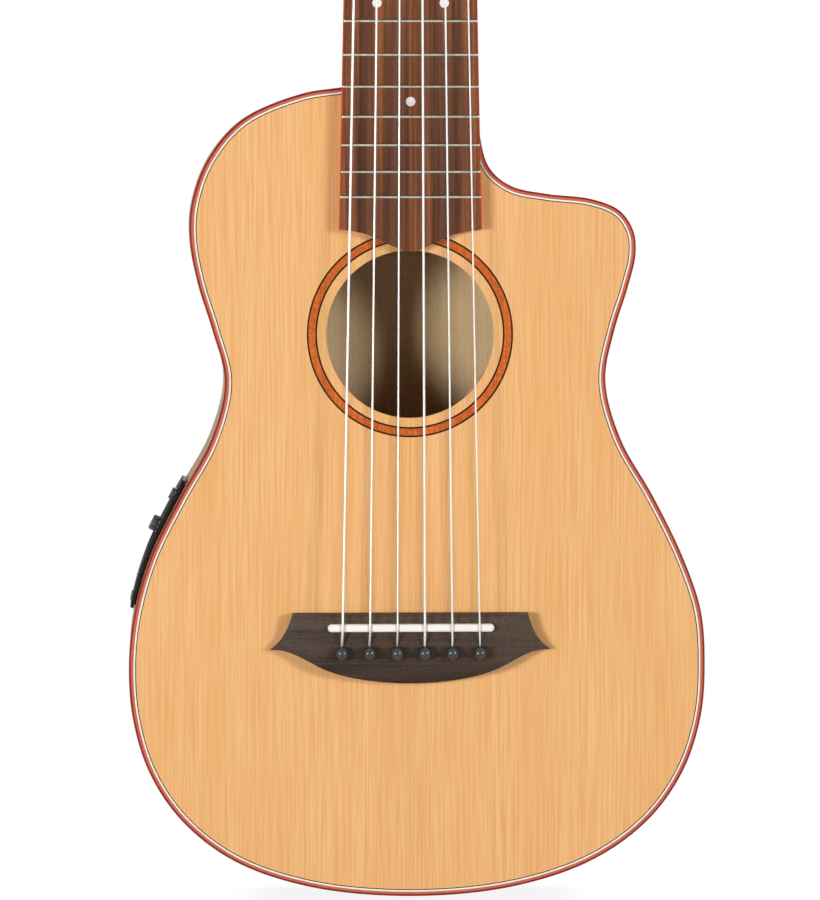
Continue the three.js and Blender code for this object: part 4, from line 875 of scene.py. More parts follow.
@dataclass
class SoundBox:
    """The box: soundboard with its inlays, bindings, sides, back and what braces them."""

    purfling_white: float = 0.7
    purfling_dark: float = 0.4
    purfling_depth: float = 1.4
    binding_rounding: float = 1.1
    hole_radius: float = 35.8
    hole_drop: float = 388.3
    rosette_inner: float = 39.7
    rosette_outer: float = 44.1
    rosette_line: float = 0.75
    rosette_depth: float = 1.2
    outline_steps: int = 8
    side_levels: int = 6
    glue_line: float = 0.1
    outline: list[Point2] = field(default_factory=list)

    def __post_init__(self) -> None:
        """Works out the outline of the box."""
        self.outline = body_outline(self.outline_steps)

    def lean(self, shape: Shape) -> Shape:
        """Leans the back in towards the neck, as the frame's back does."""
        front = SIZE.top_thickness + SIZE.lining_depth
        back = SIZE.depth_at_tail - SIZE.binding_depth - self.glue_line
        slope = (SIZE.depth_at_tail - SIZE.depth_at_neck) / SIZE.body_length
        for vert in shape.bm.verts:
            share = min(max((vert.co.y - front) / (back - front), 0), 1)
            vert.co.y -= slope * (vert.co.z - SIZE.body_bottom) * share
        return shape

    def build(self) -> None:
        """Builds the box."""
        self.build_soundboard()
        self.build_rosette()
        self.build_edges()
        self.build_sides()
        dress(["top_lining", "back_lining", "upper_transverse_brace", "x_brace", "back_brace_1",
               "back_brace_2", "back_brace_3"], INNER_WOOD.build())
        dress(["neck_block", "tail_block", "bridge_plate"], BLOCK_WOOD.build())

    def build_soundboard(self) -> None:
        """Soundboard inside its inlays, on a layer that carries them."""
        edge = SIZE.side_thickness + self.purfling_white + self.purfling_dark
        hole = circle(self.hole_radius, 0, -self.hole_drop)
        groove = [circle(radius, 0, -self.hole_drop) for radius in (self.rosette_outer, self.rosette_inner)]
        board = Shape()
        board.plate(inset(self.outline, edge), 0, self.rosette_depth, [groove[0]])
        board.plate(groove[1], 0, self.rosette_depth, [hole])
        board.plate(inset(self.outline, SIZE.side_thickness), self.purfling_depth, SIZE.top_thickness, [hole])
        top = board.publish("soundboard_wood", CEDAR.build(), replaces=["soundboard"], slot="top_wood")
        # The soundboard's underside is painted darker brown: painted shade inside the box.
        line_inside(top, SHADED_INSIDE_WOOD.build(), lambda face: face.normal.y > 0.5)

    def build_rosette(self) -> None:
        """A ring of red wood between two black lines."""
        radii = (self.rosette_inner, self.rosette_inner + self.rosette_line,
                 self.rosette_outer - self.rosette_line, self.rosette_outer)
        rings = [circle(radius, 0, -self.hole_drop) for radius in radii]
        depth = self.rosette_depth
        for name, inner, outer, finish in (("rosette_inner_line", 0, 1, BLACK_LINE.build()),
                                           ("rosette_ring", 1, 2, ROSETTE_WOOD.build()),
                                           ("rosette_outer_line", 2, 3, BLACK_LINE.build())):
            ring = Shape().plate(rings[outer], 0, depth, [rings[inner]])
            ring.publish(name, finish, replaces=["rosette"], slot="rosette_wood")

    def build_edges(self) -> None:
        """Bindings, the white and the dark purfling line, and the back."""
        width = SIZE.side_thickness
        inner = inset(self.outline, width)
        middle = inset(self.outline, width + self.purfling_white)
        end = inset(self.outline, width + self.purfling_white + self.purfling_dark)
        depth = self.purfling_depth
        Shape().plate(inner, 0, depth, [middle]).publish(
            "purfling_white", WHITE_LINE.build(), replaces=["top_purfling"], slot="purfling")
        Shape().plate(middle, 0, depth, [end]).publish(
            "purfling_dark", BLACK_LINE.build(), replaces=["top_purfling"], slot="purfling")
        top = Shape().plate(self.outline, 0, SIZE.binding_depth, [inner])
        self.round_rim(top, 0)
        top.publish(
            "binding_top", RED_BINDING.build(), replaces=["top_binding"], slot="binding_wood", sharp=60)
        back = SIZE.depth_at_tail
        rim = Shape().plate(self.outline, back - SIZE.binding_depth, back, [inner])
        self.round_rim(rim, back)
        self.lean(rim).publish("binding_back", RED_BINDING.build(), replaces=["back_binding"],
                               slot="binding_wood", sharp=60)
        plate = Shape().plate(inner, back - SIZE.back_thickness, back)
        board = self.lean(plate).publish("back", SIDE_WOOD.build(), replaces=["back_plate"], slot="back_wood")
        # The back's inner face is paler: partly unfinished wood, partly painted light for the pools inside
        # the box.
        line_inside(board, RAW_AND_LIT_BACK_WOOD.build(), lambda face: face.normal.y < -0.5)

    def round_rim(self, ring: Shape, y: float) -> None:
        """Rounds the outer edge of a binding's face at y."""
        outside = [Vector((x, y, z)) for x, z in self.outline]
        near = {tuple(round(value, 3) for value in point) for point in outside}

        def on_rim(vert: bmesh.types.BMVert) -> bool:
            """Whether a vertex lies on the outer edge of the face."""
            return tuple(round(value, 3) for value in vert.co) in near
        edges = [e for e in ring.sharp_edges(60) if all(on_rim(v) for v in e.verts)]
        ring.bevel(edges, self.binding_rounding, 4)

    def build_sides(self) -> None:
        """The bent sides, with the opening for the preamp."""
        front, back = SIZE.binding_depth, SIZE.depth_at_tail - SIZE.binding_depth - self.glue_line
        wall = Shape()
        edges = wall.loop((x, front, z) for x, z in self.outline)
        for _ in range(self.side_levels):
            pushed = bmesh.ops.extrude_edge_only(wall.bm, edges=edges)["geom"]
            verts = [item for item in pushed if isinstance(item, bmesh.types.BMVert)]
            edges = [item for item in pushed if isinstance(item, bmesh.types.BMEdge)]
            bmesh.ops.translate(wall.bm, verts=verts, vec=(0, (back - front) / self.side_levels, 0))
        self.lean(wall)
        preamp = Preamp()
        wall.move(preamp.place.inverted())
        length = preamp.housing_length / 2 + preamp.clearance
        width = preamp.housing_width / 2 + preamp.clearance
        wall.cut_along(0, (-length, length)).cut_along(1, (-width, width))
        inside = [f for f in wall.bm.faces if abs(f.calc_center_median().x) < length
                  and abs(f.calc_center_median().y) < width and abs(f.calc_center_median().z) < 20]
        bmesh.ops.delete(wall.bm, geom=inside, context="FACES")
        wall.move(preamp.place)
        bmesh.ops.recalc_face_normals(wall.bm, faces=wall.bm.faces[:])
        outward = sum(f.normal.dot(Vector((f.calc_center_median().x, 0, f.calc_center_median().z
                      - SIZE.body_top + SIZE.body_length * 0.6))) * f.calc_area() for f in wall.bm.faces)
        if outward < 0:
            bmesh.ops.reverse_faces(wall.bm, faces=wall.bm.faces[:])
        bmesh.ops.solidify(wall.bm, geom=wall.bm.faces[:], thickness=SIZE.side_thickness)
        material = SIDE_WOOD.build(Grain.ROUND_THE_SIDES)
        sides = wall.publish("bent_sides", material, replaces=["sides"], slot="side_wood")
        spine = [Vector(point) * MM for point in inset(self.outline, SIZE.side_thickness / 2)]

        def faces_in(face: bpy.types.MeshPolygon) -> bool:
            """Whether a face lies inside the middle of the wall."""
            place = Vector((face.center.x, face.center.z))
            near = min(range(len(spine)), key=lambda n: (spine[n] - place).length_squared)
            ahead = spine[(near + 1) % len(spine)] - spine[near - 1]
            return ahead.cross(place - spine[near]) > 0
        # The sides' inner faces are painted darker brown: painted shade inside the box.
        line_inside(sides, SHADED_INSIDE_WOOD.build(), faces_in)


@dataclass
class Neck:
    """Neck shaft with its heel, headstock and veneer."""

    depth_at_nut: float = 14
    depth_at_body: float = 17
    heel_length: float = 50
    heel_depth: float = 60
    heel_foot_width: float = 30
    heel_shares: tuple[Point2, ...] = ((0.0, 1.06), (0.15, 1.06), (0.30, 1.06), (0.36, 0.86), (0.44, 0.58),
                                       (0.55, 0.34), (0.70, 0.15), (0.85, 0.05), (1.0, 0.0), (1.2, 0.0))
    cap_thickness: float = 1.6
    ring_points: int = 33
    crown_share: float = 0.9933
    volute_length: float = 12
    volute_reach: float = 9.4

    def ring(self, z: float, front: float, width: float, depth: float, foot: float,
             roundness: float) -> list[Vector]:
        """A section of the neck: flat in front, round behind, narrower at the back by the foot's share."""
        points = []
        for step in range(self.ring_points):
            angle = math.pi * step / (self.ring_points - 1)
            across = math.copysign(abs(math.cos(angle)) ** roundness, math.cos(angle))
            back = abs(math.sin(angle)) ** roundness
            points.append(Vector((width / 2 * across * (1 - foot * back), front + (depth - front) * back, z)))
        return points

    def shaft_ring(self, z: float, fall: float) -> list[Vector]:
        """A section of the shaft, with the heel's fall at that height."""
        width = SIZE.board_width(z)
        depth = self.depth_at_nut + (self.depth_at_body - self.depth_at_nut) * z / SIZE.body_top
        share = min(max(fall, 0), 1)
        depth += (self.heel_depth - depth) * fall
        return self.ring(z, 0, width, depth, share * (1 - self.heel_foot_width / width), 1 - 0.3 * share)

    def head_outline(self) -> list[Point2]:
        """Outline of the headstock in its own frame."""
        pieces = (((0.66, 0.06), (0.82, 0.07), (0.87, 0.14)), ((0.92, 0.30), (0.97, 0.65), (1.00, 0.92)),
                  ((0.92, 1.01), (0.35, 1.01), (0.00, 0.965)))
        half = bezier_run((SIZE.nut_width / SIZE.head_width, 0.03), pieces, 14)
        return both_halves([(x * SIZE.head_width / 2, min(z, self.crown_share) * SIZE.head_length)
                            for x, z in half])

    def build(self) -> None:
        """Builds the neck and headstock."""
        wood = NECK_WOOD.build()
        profile = smooth_curve(self.heel_shares, 4)
        rings = [self.shaft_ring(SIZE.body_top + share * self.heel_length, fall) for share, fall in profile]
        for share in (0.6, 0.4, 0.2, 0):
            rings.append(self.shaft_ring(SIZE.body_top * share, 0))
        rings.append(self.shaft_ring(SIZE.nut_thickness, 0))
        shaft = Shape().loft(rings)
        geom = shaft.bm.verts[:] + shaft.bm.edges[:] + shaft.bm.faces[:]
        foot = self.heel_depth - self.cap_thickness
        cut = bmesh.ops.bisect_plane(shaft.bm, geom=geom, plane_co=(0, foot, 0), plane_no=(0, 1, 0),
                                     clear_outer=True)
        rim = [item for item in cut["geom_cut"] if isinstance(item, bmesh.types.BMEdge)]
        bmesh.ops.contextual_create(shaft.bm, geom=rim)
        head = Shape().plate(self.head_outline(), 0, SIZE.head_thickness)
        head.bevel([e for e in head.sharp_edges(60) if min(v.co.y for v in e.verts) > 1], 1.6, 4)
        head.move(SIZE.head_frame)
        volute = Shape().loft([
            self.ring(-self.volute_length, 1.6, SIZE.nut_width * 0.92, self.depth_at_nut * 0.92, 0, 1),
            self.ring(-self.volute_length / 2, 1.6, SIZE.nut_width * 0.97, self.depth_at_nut * 0.99, 0, 0.9),
            self.ring(0, 1.6, SIZE.nut_width, self.depth_at_nut + 0.8, 0, 0.8),
            [SIZE.head_frame @ p for p in self.ring(
                self.volute_reach, 0, SIZE.nut_width + 1.5, SIZE.head_thickness - 0.1, 0, 0.5)],
        ])
        shaft.publish("neck_shaft", wood, replaces=["neck"], slot="neck_wood")
        head.publish("headstock", wood, replaces=["neck"], slot="neck_wood")
        volute.publish("volute", wood, replaces=["neck"], slot="neck_wood", sharp=60)
        veneer = Shape().plate(self.head_outline(), -SIZE.veneer_thickness, -0.05)
        veneer.bevel([e for e in veneer.sharp_edges(60) if max(v.co.y for v in e.verts) < -1], 0.6, 3)
        veneer.move(SIZE.head_frame).publish(
            "headstock_face", BOARD_WOOD.build(), replaces=["headstock_veneer"], slot="board_wood")
        self.build_cap(foot)
        dress(["neck_rod"], STEEL.build())

    def build_cap(self, foot: float) -> None:
        """The red cap on the heel's foot and the strap button."""
        half = self.heel_foot_width / 2
        top, bottom = SIZE.body_top + 0.3 * self.heel_length, SIZE.body_top
        curve = bezier_run((half + 1.5, bottom),
                           (((half + 1.3, bottom + 8), (half * 0.8, top), (0.0, top)),), 16)
        cap = Shape().plate(both_halves(curve), foot, self.heel_depth)
        cap.round_all(0.3, 2).publish("heel_cap", EDGING_WOOD.build(), replaces=["neck"], slot="neck_wood")
        self.build_strap_button()

    def build_strap_button(self) -> None:
        """The strap button on the heel's foot, with the screw that holds it."""
        base, waist, head, height = 5.5, 3.2, 6.6, 12
        profile = [(0, 0), (base, 0), (base, 0.08 * height), (0.82 * base, 0.14 * height),
                   (waist * 1.1, 0.24 * height), (waist, 0.36 * height), (waist, 0.58 * height),
                   (waist * 1.15, 0.68 * height), (0.8 * head, 0.78 * height), (0.97 * head, 0.84 * height),
                   (head, 0.9 * height), (0.96 * head, 0.96 * height), (0.85 * head, height),
                   (0.45 * head, height), (0.3 * head, 0.9 * height), (0, 0.9 * height)]
        place = Vector((0, self.heel_depth + 0.1, SIZE.body_top + 0.15 * self.heel_length))
        button = Shape().turned(profile, 40)
        button.move(Matrix.Translation(place)).publish(
            "strap_button_turned", CHROME.build(), replaces=["strap_button"], slot="strap_metal", sharp=50)
        screw = Shape().screw((0, 0), 0.28 * head, 0.88 * height, 0.96 * height)
        screw.move(Matrix.Translation(place)).publish("strap_screw", STEEL.build(), slot="strap_metal")


@dataclass
class Fretboard:
    """The fretboard, its edging, frets, dots and nut."""

    edging_width: float = 0.55
    fret_width: float = 1.3
    fret_crown: float = 0.55
    dot_radius: float = 2.0
    dot_frets: tuple[int, ...] = (3, 5, 7, 9, 15)
    octave_dot_spread: float = 28.6
    point_pieces: tuple[tuple[Point2, Point2, Point2], ...] = (
        ((0.72, 0.10), (0.55, 0.25), (0.42, 0.50)),
        ((0.32, 0.70), (0.20, 0.80), (0.14, 0.93)),
        ((0.10, 1.00), (0.04, 1.00), (0.00, 1.00)),
    )

    def build(self) -> None:
        """Builds the board and what is set in it."""
        corner = -(SIZE.board_length - SIZE.board_point)
        half_corner = SIZE.board_width(corner) / 2
        thick = SIZE.board_thickness
        shares = bezier_run((1, 0), self.point_pieces, 12)
        inner = [(SIZE.nut_width / 2 - self.edging_width, 0.0),
                 (half_corner - self.edging_width, corner - 0.15)]
        inner += [(x * half_corner, corner - down * SIZE.board_point) for x, down in shares[2:]]
        board = Shape().plate(both_halves(inner), -thick, 0)
        board.bevel([e for e in board.sharp_edges(60) if max(v.co.y for v in e.verts) < -1], 0.15, 2)
        board.publish("board", BOARD_WOOD.build(), replaces=["fretboard"], slot="board_wood")
        for name, side in (("edging_bass", -1), ("edging_treble", 1)):
            edge = [(side * x, z) for x, z in (
                (SIZE.nut_width / 2 - self.edging_width, 0.0), (SIZE.nut_width / 2, 0.0),
                (half_corner, corner), (half_corner - self.edging_width, corner - 0.15))]
            Shape().plate(edge, -thick, 0).round_all(0.12, 2).publish(
                name, EDGING_WOOD.build(), replaces=["fretboard"], slot="board_wood")
        self.build_frets()
        self.build_dots()
        dress(["nut"], BONE.build())

    def build_frets(self) -> None:
        """One crowned wire for each fret."""
        for number in range(1, SIZE.fret_count + 1):
            z = -SIZE.fret_drop(number)
            half = SIZE.board_width(z) / 2 - 0.1
            top = -SIZE.board_thickness - SIZE.fret_height
            wire = Shape().box((-half, top, z - self.fret_width / 2),
                               (half, -SIZE.board_thickness + 0.4, z + self.fret_width / 2))
            crown = [e for e in wire.bm.edges if all(abs(v.co.y - top) < 1e-6 for v in e.verts)]
            wire.bevel(crown, self.fret_crown, 4)
            wire.publish(
                f"fret_{number}", NICKEL.build(), replaces=["fretboard"], slot="board_wood", sharp=50)

    def build_dots(self) -> None:
        """The inlaid position dots."""
        places = [(number, 0.0) for number in self.dot_frets]
        places += [(12, -self.octave_dot_spread / 2), (12, self.octave_dot_spread / 2)]
        front = -SIZE.board_thickness - 0.03
        for index, (number, x) in enumerate(sorted(places), 1):
            z = -(SIZE.fret_drop(number) + SIZE.fret_drop(number - 1)) / 2
            dot = Shape().plate(circle(self.dot_radius, x, z, 32), front, front + 0.6)
            dot.publish(f"dot_{index}", PEARL.build(), replaces=["fretboard"], slot="board_wood")


@dataclass
class Bridge:
    """The bridge with its saddle and pins."""

    width: float = 120.2
    length: float = 30.1
    height: float = 9
    tip_height: float = 4
    lead: float = 5.8
    chamfer: float = 1.3
    saddle_length: float = 71
    saddle_thickness: float = 3.4
    pin_spread: float = 59
    pin_drop: float = 10.8
    pin_radius: float = 3
    pin_shank: float = 2.1
    pin_length: float = 14
    rounding: float = 0.35
    wing_cuts: tuple[float, ...] = (0.31, 0.335, 0.36, 0.385, 0.41, 0.435, 0.46, 0.48)
    belly_cuts: tuple[float, ...] = (0.74, 0.79, 0.84, 0.885, 0.93, 0.97)

    def outline(self) -> list[Point2]:
        """Outline of the bridge, with its pointed wings and belly."""
        pieces = (((0.436, 0.28), (0.462, 0.42), (0.499, 0.52)),
                  ((0.440, 0.50), (0.410, 0.58), (0.330, 0.745)),
                  ((0.250, 0.92), (0.120, 1.00), (0.000, 1.00)))
        top = SIZE.saddle_z + self.lead
        shares = bezier_run((0.418, 0), pieces, 14)
        return both_halves([(x * self.width, top - down * self.length) for x, down in shares])

    def height_at(self, x: float, z: float) -> float:
        """Height of the bridge's face above the soundboard."""
        wing = between(((0, self.height), (0.31, self.height), (0.36, 0.88 * self.height), (0.41, 6.7),
                        (0.46, 5.0), (0.5, self.tip_height)), abs(x) / self.width)
        down = SIZE.saddle_z + self.lead - z
        belly = between(((0, self.height - self.chamfer), (self.chamfer, self.height),
                         (0.74 * self.length, self.height), (0.84 * self.length, 0.86 * self.height),
                         (0.93 * self.length, 0.66 * self.height), (self.length, 0.45 * self.height)), down)
        return min(wing, belly)

    def build(self) -> None:
        """Builds the bridge, saddle and pins."""
        top = SIZE.saddle_z + self.lead
        wood = Shape().plate(self.outline(), -self.height, 0)
        wood.cut_along(0, [side * share * self.width for side in (-1, 1) for share in self.wing_cuts])
        wood.cut_along(2, [top - self.chamfer, *[top - share * self.length for share in self.belly_cuts]])
        for vert in wood.bm.verts:
            if vert.co.y < -1:
                vert.co.y = -self.height_at(vert.co.x, vert.co.z)
        rim = [e for e in wood.sharp_edges(50) if max(v.co.y for v in e.verts) < -1]
        wood.bevel(rim, self.rounding, 2)
        wood.publish("bridge_wood", BRIDGE_WOOD.build(Grain.ACROSS), replaces=["bridge"],
                     slot="bridge_wood", sharp=38)
        self.build_saddle()
        for index in range(SIZE.string_count):
            self.build_pin(index)
        dress(["pickup_strip"], STEEL.build())

    def build_saddle(self) -> None:
        """The bone saddle with round ends and a crowned top."""
        thick = self.saddle_thickness / 2
        top = -SIZE.string_rise(SIZE.saddle_z) + 0.3
        saddle = Shape().box((-self.saddle_length / 2, top, SIZE.saddle_z - thick),
                             (self.saddle_length / 2, -self.height + 4, SIZE.saddle_z + thick))
        ends = [e for e in saddle.bm.edges if abs(e.verts[0].co.y - e.verts[1].co.y) > 1]
        saddle.bevel(ends, thick * 0.96, 6)
        crown = [e for e in saddle.sharp_edges(60) if all(abs(v.co.y - top) < 1e-6 for v in e.verts)]
        saddle.bevel(crown, 0.9, 4)
        saddle.publish("bone_saddle", BONE.build(), replaces=["saddle"], slot="bone", sharp=60)

    def build_pin(self, index: int) -> None:
        """A bridge pin with a ball head."""
        centre = -0.87 * self.pin_radius
        ball = []
        for step in range(13):
            angle = -math.pi / 2 + step / 12 * math.pi * 0.86
            ball.append((self.pin_radius * math.cos(angle), centre + self.pin_radius * math.sin(angle)))
        profile = [*ball, (self.pin_shank, 0), (self.pin_shank * 0.86, 0.95 * self.pin_length),
                   (0, self.pin_length)]
        profile[0] = (0, profile[0][1])
        pin = Shape().turned(profile)
        place = (SIZE.string_x(index, self.pin_spread), -self.height - 0.1, SIZE.saddle_z - self.pin_drop)
        pin.move(Matrix.Translation(place))
        name = f"bridge_pin_{index + 1}"
        pin.publish(f"{name}_ball", PIN_PLASTIC.build(), replaces=[name], slot="pin_plastic", sharp=50)


@dataclass
class Strings:
    """Six nylon strings; the three bass ones are wound with silvered wire."""

    turns: int = 2
    turn_gap: float = 0.5
    steps_per_turn: int = 24
    post_radius: float = 3
    clearance: float = 0.3
    winding_start: float = 7
    slot_reach: float = 4.1
    pin_flute: float = 0.7

    def winding(self, index: int, radius: float) -> list[Vector]:
        """The turns of a string round its post."""
        side, x, z = SIZE.post_places()[index]
        reach = self.post_radius + self.clearance + 1.2 * radius
        pitch = 2 * radius + self.turn_gap
        points = []
        for step in range(self.turns * self.steps_per_turn + 1):
            angle = step / self.steps_per_turn * 2 * math.pi
            y = -(SIZE.veneer_thickness + self.winding_start) + pitch * step / self.steps_per_turn
            points.append(SIZE.head_frame @ Vector((x - side * reach * math.cos(angle), y,
                                                    z + reach * math.sin(angle))))
        return points

    def build(self) -> None:
        """Builds each string along its route."""
        bridge = Bridge()
        pin_z = SIZE.saddle_z - bridge.pin_drop
        for index, diameter in enumerate(SIZE.string_diameters):
            radius = diameter / 2
            nut_x = SIZE.string_x(index, SIZE.spread_at_nut)
            saddle_x = SIZE.string_x(index, SIZE.spread_at_saddle)
            pin_x = SIZE.string_x(index, bridge.pin_spread)
            over_saddle = -SIZE.string_rise(SIZE.saddle_z) - radius
            over_nut = -SIZE.string_rise(0) - radius
            flute_z = pin_z + self.pin_flute + self.clearance + radius
            points = [
                Vector((pin_x, SIZE.top_thickness, flute_z)),
                Vector((pin_x, -0.55 * bridge.height, flute_z)),
                Vector((pin_x, -0.92 * bridge.height, pin_z + 0.65 * self.slot_reach)),
                Vector((pin_x, -bridge.height - 2.2 * radius, pin_z + self.slot_reach)),
                Vector((saddle_x, over_saddle, SIZE.saddle_z - 0.3 * bridge.saddle_thickness)),
                Vector((saddle_x, over_saddle, SIZE.saddle_z + 0.3 * bridge.saddle_thickness)),
                Vector((nut_x, over_nut, 0)),
                Vector((nut_x, over_nut, SIZE.nut_thickness)),
                *self.winding(index, radius),
            ]
            finish = WOUND if index < 3 else NYLON
            name = f"string_{index + 1}"
            tube(f"{name}_cord", points, radius, finish.build(), replaces=[name])


@dataclass
class TuningMachines:
    """Worm-and-wheel tuning machines, three a side on one plate."""

    plate_thickness: float = 1.2
    plate_width: float = 19
    plate_margin: float = 15
    plate_corner: float = 4
    teeth: int = 14
    module: float = 0.8
    wheel_thickness: float = 4
    addendum: float = 0.55
    dedendum: float = 0.85
    backlash: float = 0.4
    flank_degrees: float = 20
    worm_pitch_radius: float = 2.4
    worm_length: float = 7
    worm_shaft_radius: float = 1.3
    thread_steps: int = 20
    mesh_slack: float = 0.1
    post_radius: float = 3
    post_height: float = 12
    hub_radius: float = 3.8
    ear_thickness: float = 1.6
    ear_width: float = 5.6
    ear_spread: float = 12
    button_reach: float = 5
    button_length: float = 11
    button_width: float = 15
    button_thickness: float = 7
    button_shares: tuple[Point2, ...] = (
        (0, 0.36), (0.05, 0.6), (0.16, 0.84), (0.36, 0.96), (0.6, 1), (0.8, 0.93), (0.93, 0.76), (0.99, 0.5),
        (1, 0.3),
    )
    glue_line: float = 0.1
    clearance: float = 0.3
    collar_radius: float = 5.2
    collar_height: float = 1.4
    screw_radius: float = 2.1
    screw_rise: float = 1.1

    @property
    def plate_back(self) -> float:
        """The plates' outer face."""
        return SIZE.head_thickness + self.glue_line + self.plate_thickness

    @property
    def worm_y(self) -> float:
        """Depth of the worms' axes in the headstock's frame."""
        return self.plate_back + self.clearance + self.worm_pitch_radius + self.addendum

    @property
    def pitch_radius(self) -> float:
        """Pitch radius of a worm wheel."""
        return self.teeth * self.module / 2

    @property
    def worm_drop(self) -> float:
        """How far a worm's axis lies below its post's."""
        return self.pitch_radius + self.worm_pitch_radius + self.mesh_slack

    @property
    def lead(self) -> float:
        """How far the thread moves on in a turn."""
        return math.pi * self.module

    def tooth(self, root: float, tip: float) -> list[Point2]:
        """Half-widths and radii of a tooth's flank, from root to root."""
        flank = math.tan(math.radians(self.flank_degrees))
        half = (self.lead - self.backlash) / 4
        low, high = half + flank * self.dedendum, half - flank * self.addendum
        return [(-low, root), (-high, tip), (high, tip), (low, root)]

    def build(self) -> None:
        """Builds both plates, and for each string a post, a wheel, a worm and a button."""
        for name, side in (("bass", -1), ("treble", 1)):
            self.build_plate(name, side)
        for index, (side, x, z) in enumerate(SIZE.post_places(), 1):
            self.build_post(index, side, Vector((x, 0, z)))
            self.build_worm(index, side, Vector((x, self.worm_y, z - self.worm_drop)))
            self.build_collar(index, Vector((x, 0, z)))

    def seat(self, shape: Shape, side: int, place: Vector) -> Shape:
        """Mirrors a treble-side shape where it is for the bass side, and sets it on the headstock."""
        if side < 0:
            shape.move(Matrix.Diagonal((-1, 1, 1, 1)))
            bmesh.ops.reverse_faces(shape.bm, faces=shape.bm.faces[:])
        return shape.move(SIZE.head_frame @ Matrix.Translation(place))

    def build_plate(self, name: str, side: int) -> None:
        """A plate with the ears that carry its worms, and its screws."""
        places = [(x, z) for at, x, z in SIZE.post_places() if at == side]
        middle = places[0][0]
        low, high = min(z for _, z in places) - self.worm_drop, max(z for _, z in places)
        half = self.plate_width / 2
        outline = rounded_box((middle - half, low - self.plate_margin / 2),
                              (middle + half, high + self.plate_margin), self.plate_corner)
        holes = [circle(self.post_radius + self.clearance, x, z, 32) for x, z in places]
        plate = Shape().plate(outline, self.plate_back - self.plate_thickness, self.plate_back, holes)
        plate.bevel([e for e in plate.sharp_edges(60)
                     if min(v.co.y for v in e.verts) > self.plate_back - 0.1], 0.3, 2)
        plate.move(SIZE.head_frame)
        plate.publish(
            f"tuner_plate_{name}_base", CHROME.build(), replaces=[f"tuner_plate_{name}"], slot="plate_metal")
        ears = Shape()
        for x, z in places:
            for end in (-1, 1):
                self.add_ear(ears, x + end * self.ear_spread / 2, z - self.worm_drop)
        ears.move(SIZE.head_frame)
        ears.publish(
            f"tuner_ears_{name}", CHROME.build(), replaces=[f"tuner_plate_{name}"], slot="plate_metal")
        screws = Shape()
        reach = half - self.screw_radius - 1
        between_posts = [(a[1] + b[1]) / 2 + 3 for a, b in zip(places, places[1:])]
        for z in [high + self.plate_margin * 0.55, *between_posts]:
            for end in (-1, 1):
                screws.screw((middle + end * reach, z), self.screw_radius, self.plate_back,
                             self.plate_back + self.screw_rise)
        screws.move(SIZE.head_frame).publish(f"tuner_screws_{name}", STEEL.build(), slot="plate_metal")

    def add_ear(self, shape: Shape, x: float, z: float) -> None:
        """Adds an upright tab with a round end and a bearing hole."""
        half = self.ear_width / 2
        foot = self.plate_back - self.plate_thickness / 2
        arc = [math.pi * step / 12 for step in range(13)]
        outline = [(self.worm_y + half * math.sin(a), half * math.cos(a)) for a in arc]
        outline = [(foot, half), *outline, (foot, -half)]
        ear = Shape().plate(outline, -self.ear_thickness / 2, self.ear_thickness / 2,
                            [circle(self.worm_shaft_radius + self.clearance / 2, self.worm_y, 0, 20)])
        ear.round_all(0.2, 2, 60)
        ear.move(Matrix.Translation((x, 0, z)) @ Matrix.Rotation(math.pi / 2, 4, "Z"))
        mesh = bpy.data.meshes.new("ear")
        ear.bm.to_mesh(mesh)
        ear.bm.free()
        shape.bm.from_mesh(mesh)
        bpy.data.meshes.remove(mesh)

    def build_post(self, index: int, side: int, place: Vector) -> None:
        """A string post, its worm wheel and the screw that holds the wheel."""
        name, body = f"tuner_post_{index}", f"post_{index}"
        radius, top = self.post_radius, -(SIZE.veneer_thickness + self.post_height)
        profile = [(0, top), (0.6 * radius, top), (0.8 * radius, top + 0.12), (0.94 * radius, top + 0.45),
                   (radius, top + 1), (radius, top + 3), (0.96 * radius, top + 3.6), (radius, top + 4.2),
                   (radius, self.plate_back + self.clearance), (0, self.plate_back + self.clearance)]
        shaft = self.seat(Shape().turned(profile, 36), side, place)
        shaft.publish(f"{name}_shaft", CHROME.build(), body, [name], "gear_metal", sharp=50)
        wheel = self.wheel()
        back = self.worm_y + 0.6 * self.wheel_thickness
        wheel.turned([(0, self.plate_back + self.clearance),
                      (self.hub_radius, self.plate_back + self.clearance),
                      (self.hub_radius, back - 0.3), (self.hub_radius - 0.3, back), (0, back)], 36)
        self.seat(wheel, side, place).publish(
            f"{name}_wheel", BRASS.build(), body, [name], "gear_metal", sharp=30)
        screw = Shape().screw((0, 0), 0.5 * self.hub_radius, back, back + 0.15 * self.wheel_thickness)
        self.seat(screw, side, place).publish(f"{name}_screw", STEEL.build(), body, [name], "gear_metal")

    def wheel(self) -> Shape:
        """The worm wheel's teeth, which lean by the worm's lead."""
        teeth = self.tooth(self.pitch_radius - self.dedendum, self.pitch_radius + self.addendum)
        lean_slope = self.lead / (2 * math.pi * self.worm_pitch_radius) / self.pitch_radius
        rings = []
        for step in range(5):
            y = self.worm_y + self.wheel_thickness * (step / 4 - 0.5)
            ring = []
            for number in range(self.teeth):
                for along, radius in teeth:
                    angle = (-math.pi / 2 + number * 2 * math.pi / self.teeth + along / self.pitch_radius
                             + (y - self.worm_y) * lean_slope)
                    ring.append((radius * math.cos(angle), y, radius * math.sin(angle)))
            rings.append(ring)
        return Shape().loft(rings)

